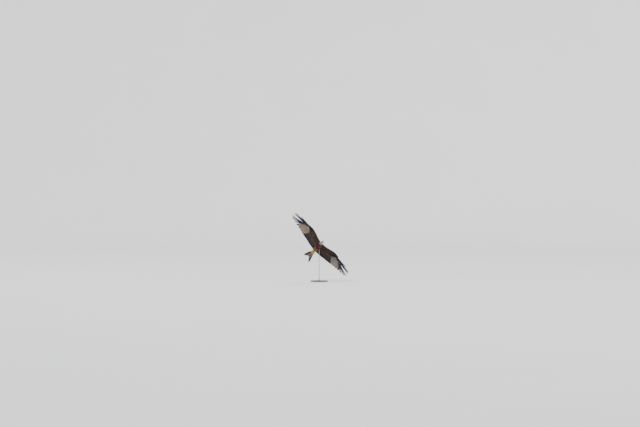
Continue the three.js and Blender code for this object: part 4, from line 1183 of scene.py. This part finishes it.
def body_coat():
    """Contour feathers from the root of the tail to the neck."""
    roots = contour_rows(trunk, BODY_START, trunk.length - BODY_END, BODY_SIZES, BODY_COAT)
    places = trunk.at(*roots[:2], 0)
    x = places[:, 0]
    under = under_side(roots[1])
    shoulder = hump((np.degrees(np.arcsin(-under)), 40, 15)) * ease(-70, -15, x) * (1 - ease(98, 116, x))
    feathers = [*roots, paint_trunk(places, under), 0.35 + 0.4 * ease(-60, 60, x), 9.0 * shoulder - 1.6]
    for name, chosen in (("breast_and_belly", under > 0), ("back", under <= 0)):
        plumage = Plumage()
        lay_contours(plumage, trunk, [values[chosen] for values in feathers], BODY_COAT)
        plumage.build(f"{name}_feathers", "coat", ())


def head_coat():
    """Short feathers of the head and neck, finer towards the bill, and none on the eyes."""
    sizes = [(trunk.length - before, size) for before, size in HEAD_SIZES]
    roots = contour_rows(trunk, trunk.length - HEAD_START, trunk.length - HEAD_END, sizes, HEAD_COAT)
    places = trunk.at(*roots[:2], 0)
    local = moved(places, HEAD.inverted())
    x, z = local[:, 0], local[:, 2]
    clear = np.ones(len(local), bool)
    for wing in wings:
        away = (local - np.array(BARE_PATCH) * (1, wing.side, 1)) / BARE_RADII
        clear &= (away ** 2).sum(axis=1) > 1
    under = under_side(roots[1])
    cheek, lores = hump((x, 4, 9), (z, 2, 7)), hump((x, 27, 4), (z, 3, 5))
    tints = layered(paint_trunk(places, under), (CREAM, 0.22 * ease(6, 28, x) + 0.15 * ease(0.3, 1, under)),
                    (SLATE, 0.45 * cheek), (SOOT, 0.5 * lores))
    streak = 0.45 + 0.55 * chance.random(len(local)) * (1 - ease(16, 30, x))
    brow = 4.4 * hump((x, 18, 8.5), (z, 11.9, 2.4))
    plumage = Plumage()
    feathers = [values[clear] for values in (*roots, tints, streak, brow - 0.7)]
    lay_contours(plumage, trunk, feathers, HEAD_COAT)
    plumage.build("head_and_neck_feathers", "coat", ())


def thigh_coat():
    """Feathered trousers down to the shanks."""
    plumage = Plumage()
    for index, tube in enumerate(thighs):
        roots = contour_rows(tube, THIGH_START, tube.length, THIGH_SIZES, THIGH_COAT)
        number = len(roots[0])
        # The thighs are darkened by painted shade.
        tints = blend(RUFOUS, OCHRE, 0.4 * chance.random(number)) * THIGH_PAINTED_SHADE
        feathers = [*roots, tints, np.full(number, 0.3), np.full(number, -1.2)]
        lay_contours(plumage, tube, feathers, THIGH_COAT, 0.5 * index, 0.5)
    plumage.build("thigh_feathers", "coat", ())


def skin():
    """One skin under all the plumage of the body, the thighs and the arms."""
    points, quads, count = [], [], 0
    shells = [tube.shell(-SKIN_DEPTH) for tube in (trunk, *thighs)]
    shells += [arm_tube(wing).shell(0) for wing in wings]
    for shell_points, shell_quads in shells:
        points.append(shell_points)
        quads.append(shell_quads + count)
        count += len(shell_points)
    piece = mesh_object("skin", moved(np.concatenate(points), BIRD), np.concatenate(quads))
    remesh = piece.modifiers.new("one surface", "REMESH")
    remesh.mode = "VOXEL"
    remesh.voxel_size = SKIN_VOXEL
    remesh.use_smooth_shade = True
    with bpy.context.temp_override(object=piece, active_object=piece, selected_objects=[piece]):
        bpy.ops.object.modifier_apply(modifier=remesh.name)
    finish(piece, "skin", ("torso", "neck", "head", "thigh_left", "thigh_right"))


# Bill, eyes and legs
def ridged(name, sections, material, node):
    """A bill part over sections in the head's frame, with a sharp ridge and a flat edge."""
    turns = turns_of(BILL_SIDES)
    across = np.sign(np.cos(turns)) * np.abs(np.cos(turns)) ** 0.85
    rise = np.maximum(np.sin(turns), -0.04)
    rings = [joined(low_x + rise * (top_x - low_x), across * half, low_z + rise * (top_z - low_z))
             for top_x, top_z, low_x, low_z, half in sections]
    points, quads = Tube(rings, BILL_STEP).shell(0)
    finish(mesh_object(name, moved(moved(points, HEAD), BIRD), quads), material, (node,))


def limb(name, stops, detail, material, nodes=()):
    """A round limb through stops with a radius each, with shallow plates across it if asked."""
    sides, step, plates = detail
    fine = smooth_through(stops, lambda a, b: max(int(np.linalg.norm(b[:3] - a[:3]) / step), 3))
    centres, radii = fine[:, :3], np.maximum(fine[:, 3], 0.05)
    if plates:
        radii = radii * (1 + 0.07 * np.abs(np.sin(lengths_along(centres) * math.pi / plates)))
    tangents = unit(np.gradient(centres, axis=0))
    across = unit(np.cross(tangents, (0.13, 0.2, 0.97)))
    other = np.cross(tangents, across)
    turns = turns_of(sides)[None, :, None]
    around = np.cos(turns) * across[:, None] + np.sin(turns) * other[:, None]
    points, quads = capped(centres[:, None] + around * radii[:, None, None])
    finish(mesh_object(name, moved(points, BIRD), quads), material, nodes)


def on_side(stops, side):
    """Stops of x, distance out, height and radius, on one side of the bird."""
    return [(x, side * out, z, radius) for x, out, z, radius in stops]


def on_head(stops):
    return [(*(HEAD @ Vector(stop[:3])), stop[3]) for stop in stops]


def bill():
    """Both halves of the bill, the cere, and on each side a gape edge and a nostril."""
    ridged("upper_bill", UPPER_BILL, "horn", "beak_upper")
    ridged("lower_bill", LOWER_BILL, "horn", "beak_lower")
    ridged("cere_skin", CERE, "cere", "cere")
    for wing in wings:
        limb(f"gape_edge_{wing.name}", on_head(on_side(GAPE_EDGE, wing.side)), FACE_DETAIL, "cere")
        limb(f"nostril_{wing.name}", on_head(on_side(NOSTRIL, wing.side)), FACE_DETAIL, "horn")


def eye(wing):
    """A ball with a black pupil, a pale iris and a dark rim, and the lids round it."""
    mirror = (1, wing.side, 1)
    centre, gaze = np.array(EYE_AT) * mirror, unit(np.array(GAZE) * mirror)
    across = unit(np.cross(gaze, (0, 0, 1.0)))
    up = np.cross(across, gaze)
    polar, turn = np.meshgrid(np.linspace(0, math.pi, EYE_ROWS), turns_of(EYE_COLUMNS), indexing="ij")
    along, right, above = (part[..., None] for part in (
        np.cos(polar), np.sin(polar) * np.cos(turn), np.sin(polar) * np.sin(turn)))
    direction = along * gaze + right * across + above * up
    radius = EYE_RADIUS * (1 + 0.06 * np.exp(-(polar / 0.5) ** 2))
    points = (centre + direction * radius[..., None]).reshape(-1, 3)
    piece = mesh_object(f"eyeball_{wing.name}", moved(moved(points, HEAD), BIRD),
                        sheet_quads(EYE_ROWS, EYE_COLUMNS, True))
    iris = blend(*IRIS, ease(0.42, 0.7, polar) + 0.12 * np.sin(turn * 17))
    colours = layered(PUPIL, (iris, ease(0.4, 0.45, polar)), (EYE_RIM, ease(0.72, 0.8, polar)))
    add_tints(piece.data, colours.reshape(-1, 3))
    finish(piece, "eye", (f"eye_{wing.name}",))
    lids = []
    for turn in np.linspace(0, 2 * math.pi, LID_STOPS):
        sin, cos = math.sin(turn), math.cos(turn)
        place = centre + gaze * LID_OUT + across * cos * LID_HALVES[0]
        place = place + up * sin * (LID_HALVES[1] + 0.25 * (sin > 0))
        lids.append((*place, 0.6 + 0.25 * (sin > 0.3)))
    limb(f"eyelid_{wing.name}", on_head(lids), LID_DETAIL, "cere", ())


def leg(wing):
    """A bare shank, and four toes with a talon each."""
    name, side = wing.name, wing.side
    limb(f"shank_{name}", on_side(SHANK, side), SHANK_DETAIL, "leg", (f"tarsus_{name}",))
    for number, (toe, claw) in enumerate(TOES, 1):
        nodes = (f"foot_{name}",) if number == 1 else ()
        limb(f"toe_{name}_{number}", on_side(toe, side), TOE_DETAIL, "leg", nodes)
        before, end = (np.array(stop[:3]) for stop in toe[-2:])
        root = [(*(end + unit(end - before) * reach), radius) for reach, radius in TALON_ROOT]
        limb(f"talon_{name}_{number}", on_side(root + claw, side), TALON_DETAIL, "claw",
             (f"claw_{name}_{number}",))


# Stand
def lathe(name, profile, material, node, sides):
    """A turned piece over a profile of radius and height in millimetres, about the upright axis."""
    turns = turns_of(sides)
    radius, height = (np.array(row, float)[:, None] * 0.001 for row in zip(*profile))
    grid = joined(radius * np.cos(turns), radius * np.sin(turns), height)
    piece = mesh_object(name, grid.reshape(-1, 3), sheet_quads(len(profile), sides, True)[:, ::-1])
    finish(piece, material, (node,))


def rounded(corner_x, corner_z, radius, start, end):
    """Points of a rounded corner between two angles in degrees."""
    return [(corner_x + radius * math.cos(math.radians(a)), corner_z + radius * math.sin(math.radians(a)))
            for a in np.linspace(start, end, CORNER_POINTS)]


def stand():
    """A turned base with a groove, a rod into the belly, and a collar at its foot."""
    rim, top, foot = BASE_RADIUS, BASE_THICKNESS, BASE_THICKNESS + GAP
    groove = [(rim - inset, top - depth) for inset, depth in GROOVE]
    base = [(AXIS_RADIUS, 0), *rounded(rim - 3, 3, 3, -90, 0), *rounded(rim - 9, top - 7, 7, 0, 90),
            *groove, (AXIS_RADIUS, top)]
    rod = [(AXIS_RADIUS, foot), (ROD_RADIUS, foot), (ROD_RADIUS, top + ROD_LENGTH - 1),
           (ROD_RADIUS - 1, top + ROD_LENGTH), (AXIS_RADIUS, top + ROD_LENGTH)]
    collar = [(ROD_RADIUS + GAP, foot), (COLLAR_RADIUS, foot),
              *rounded(COLLAR_RADIUS - 2, top + COLLAR_HEIGHT * 0.6 - 2, 2, 0, 60),
              *rounded(ROD_RADIUS + 2.5, top + COLLAR_HEIGHT - 1.5, 1.5, 30, 90),
              (ROD_RADIUS + GAP, top + COLLAR_HEIGHT)]
    for name, profile, material, sides in (("base", base, "wood", 96), ("rod", rod, "steel", 48),
                                           ("collar", collar, "steel", 64)):
        lathe(name, profile, material, f"stand_{name}", sides)


# Camera, floor and lights
def dish():
    """A pale floor that rises far out into a dish."""
    turns = turns_of(DISH_SIDES)
    rise = np.linspace(0, math.pi / 2, DISH_RINGS)
    radii = np.array([FLOOR_MIDDLE, *(FLOOR_RADIUS + (DISH_RADIUS - FLOOR_RADIUS) * np.sin(rise))])[:, None]
    heights = np.array([0.0, *(DISH_HEIGHT * (1 - np.cos(rise)))])[:, None]
    grid = joined(radii * np.cos(turns), radii * np.sin(turns), heights)
    floor = mesh_object("floor", grid.reshape(-1, 3), sheet_quads(len(radii), DISH_SIDES, True))
    floor.data.materials.append(MATERIALS["floor"])


def photo_camera():
    """A level camera that sees the bird at the photo's scale and place."""
    centre = BIRD @ Vector((0, 0, 0))
    scale = MM_PER_PIXEL * 0.001
    right, up = PHOTO[0] / 2 - BODY_AT[0], BODY_AT[1] - PHOTO[1] / 2
    camera = bpy.data.objects.new("camera", bpy.data.cameras.new("camera"))
    camera.data.sensor_width = SENSOR
    camera.data.lens = LENS
    camera.data.clip_end = CLIP_END
    distance = LENS / SENSOR * PHOTO[0] * scale
    camera.location = (centre.x + right * scale, centre.y - distance, centre.z + up * scale)
    camera.rotation_euler = (math.radians(90), 0, 0)
    bpy.context.scene.collection.objects.link(camera)
    bpy.context.scene.camera = camera


def lights():
    """Soft lamps and a pale sky."""
    for name, place, strength, width, colour in LAMPS:
        light = bpy.data.lights.new(name, "SUN")
        light.energy, light.angle, light.color = strength, math.radians(width), colour
        holder = bpy.data.objects.new(name, light)
        holder.location = place
        holder.rotation_euler = (-Vector(place)).to_track_quat("-Z", "Y").to_euler()
        bpy.context.scene.collection.objects.link(holder)
    world = bpy.data.worlds.new("studio")
    world.use_nodes = True
    sky = world.node_tree.nodes["Background"].inputs
    sky["Color"].default_value = SKY
    sky["Strength"].default_value = SKY_STRENGTH
    bpy.context.scene.world = world


wings = [Wing(name, pose) for name, pose in WINGS.items()]
trunk = Tube([tail_place(ring(*s), (TAIL_FACE - s[0]) / TAIL_ROOT_LENGTH) for s in TAIL_ROOT_SECTIONS]
             + [body_ring(x) for x in BODY_RINGS] + [moved(ring(*s), HEAD) for s in HEAD_SECTIONS], TUBE_STEP)
thighs = [Tube([ring(x, half, rise, rise) + (0, wing.side * out, z) for x, out, z, half, rise in THIGH_STOPS],
               TUBE_STEP) for wing in wings]

dish()
photo_camera()
lights()
for wing in wings:
    flight_feathers(wing)
    covert_sheet(wing, 1)
    covert_sheet(wing, -1)
    alula(wing)
    eye(wing)
    leg(wing)
tail_feathers()
tail_coverts(1)
tail_coverts(-1)
body_coat()
head_coat()
thigh_coat()
skin()
bill()
stand()
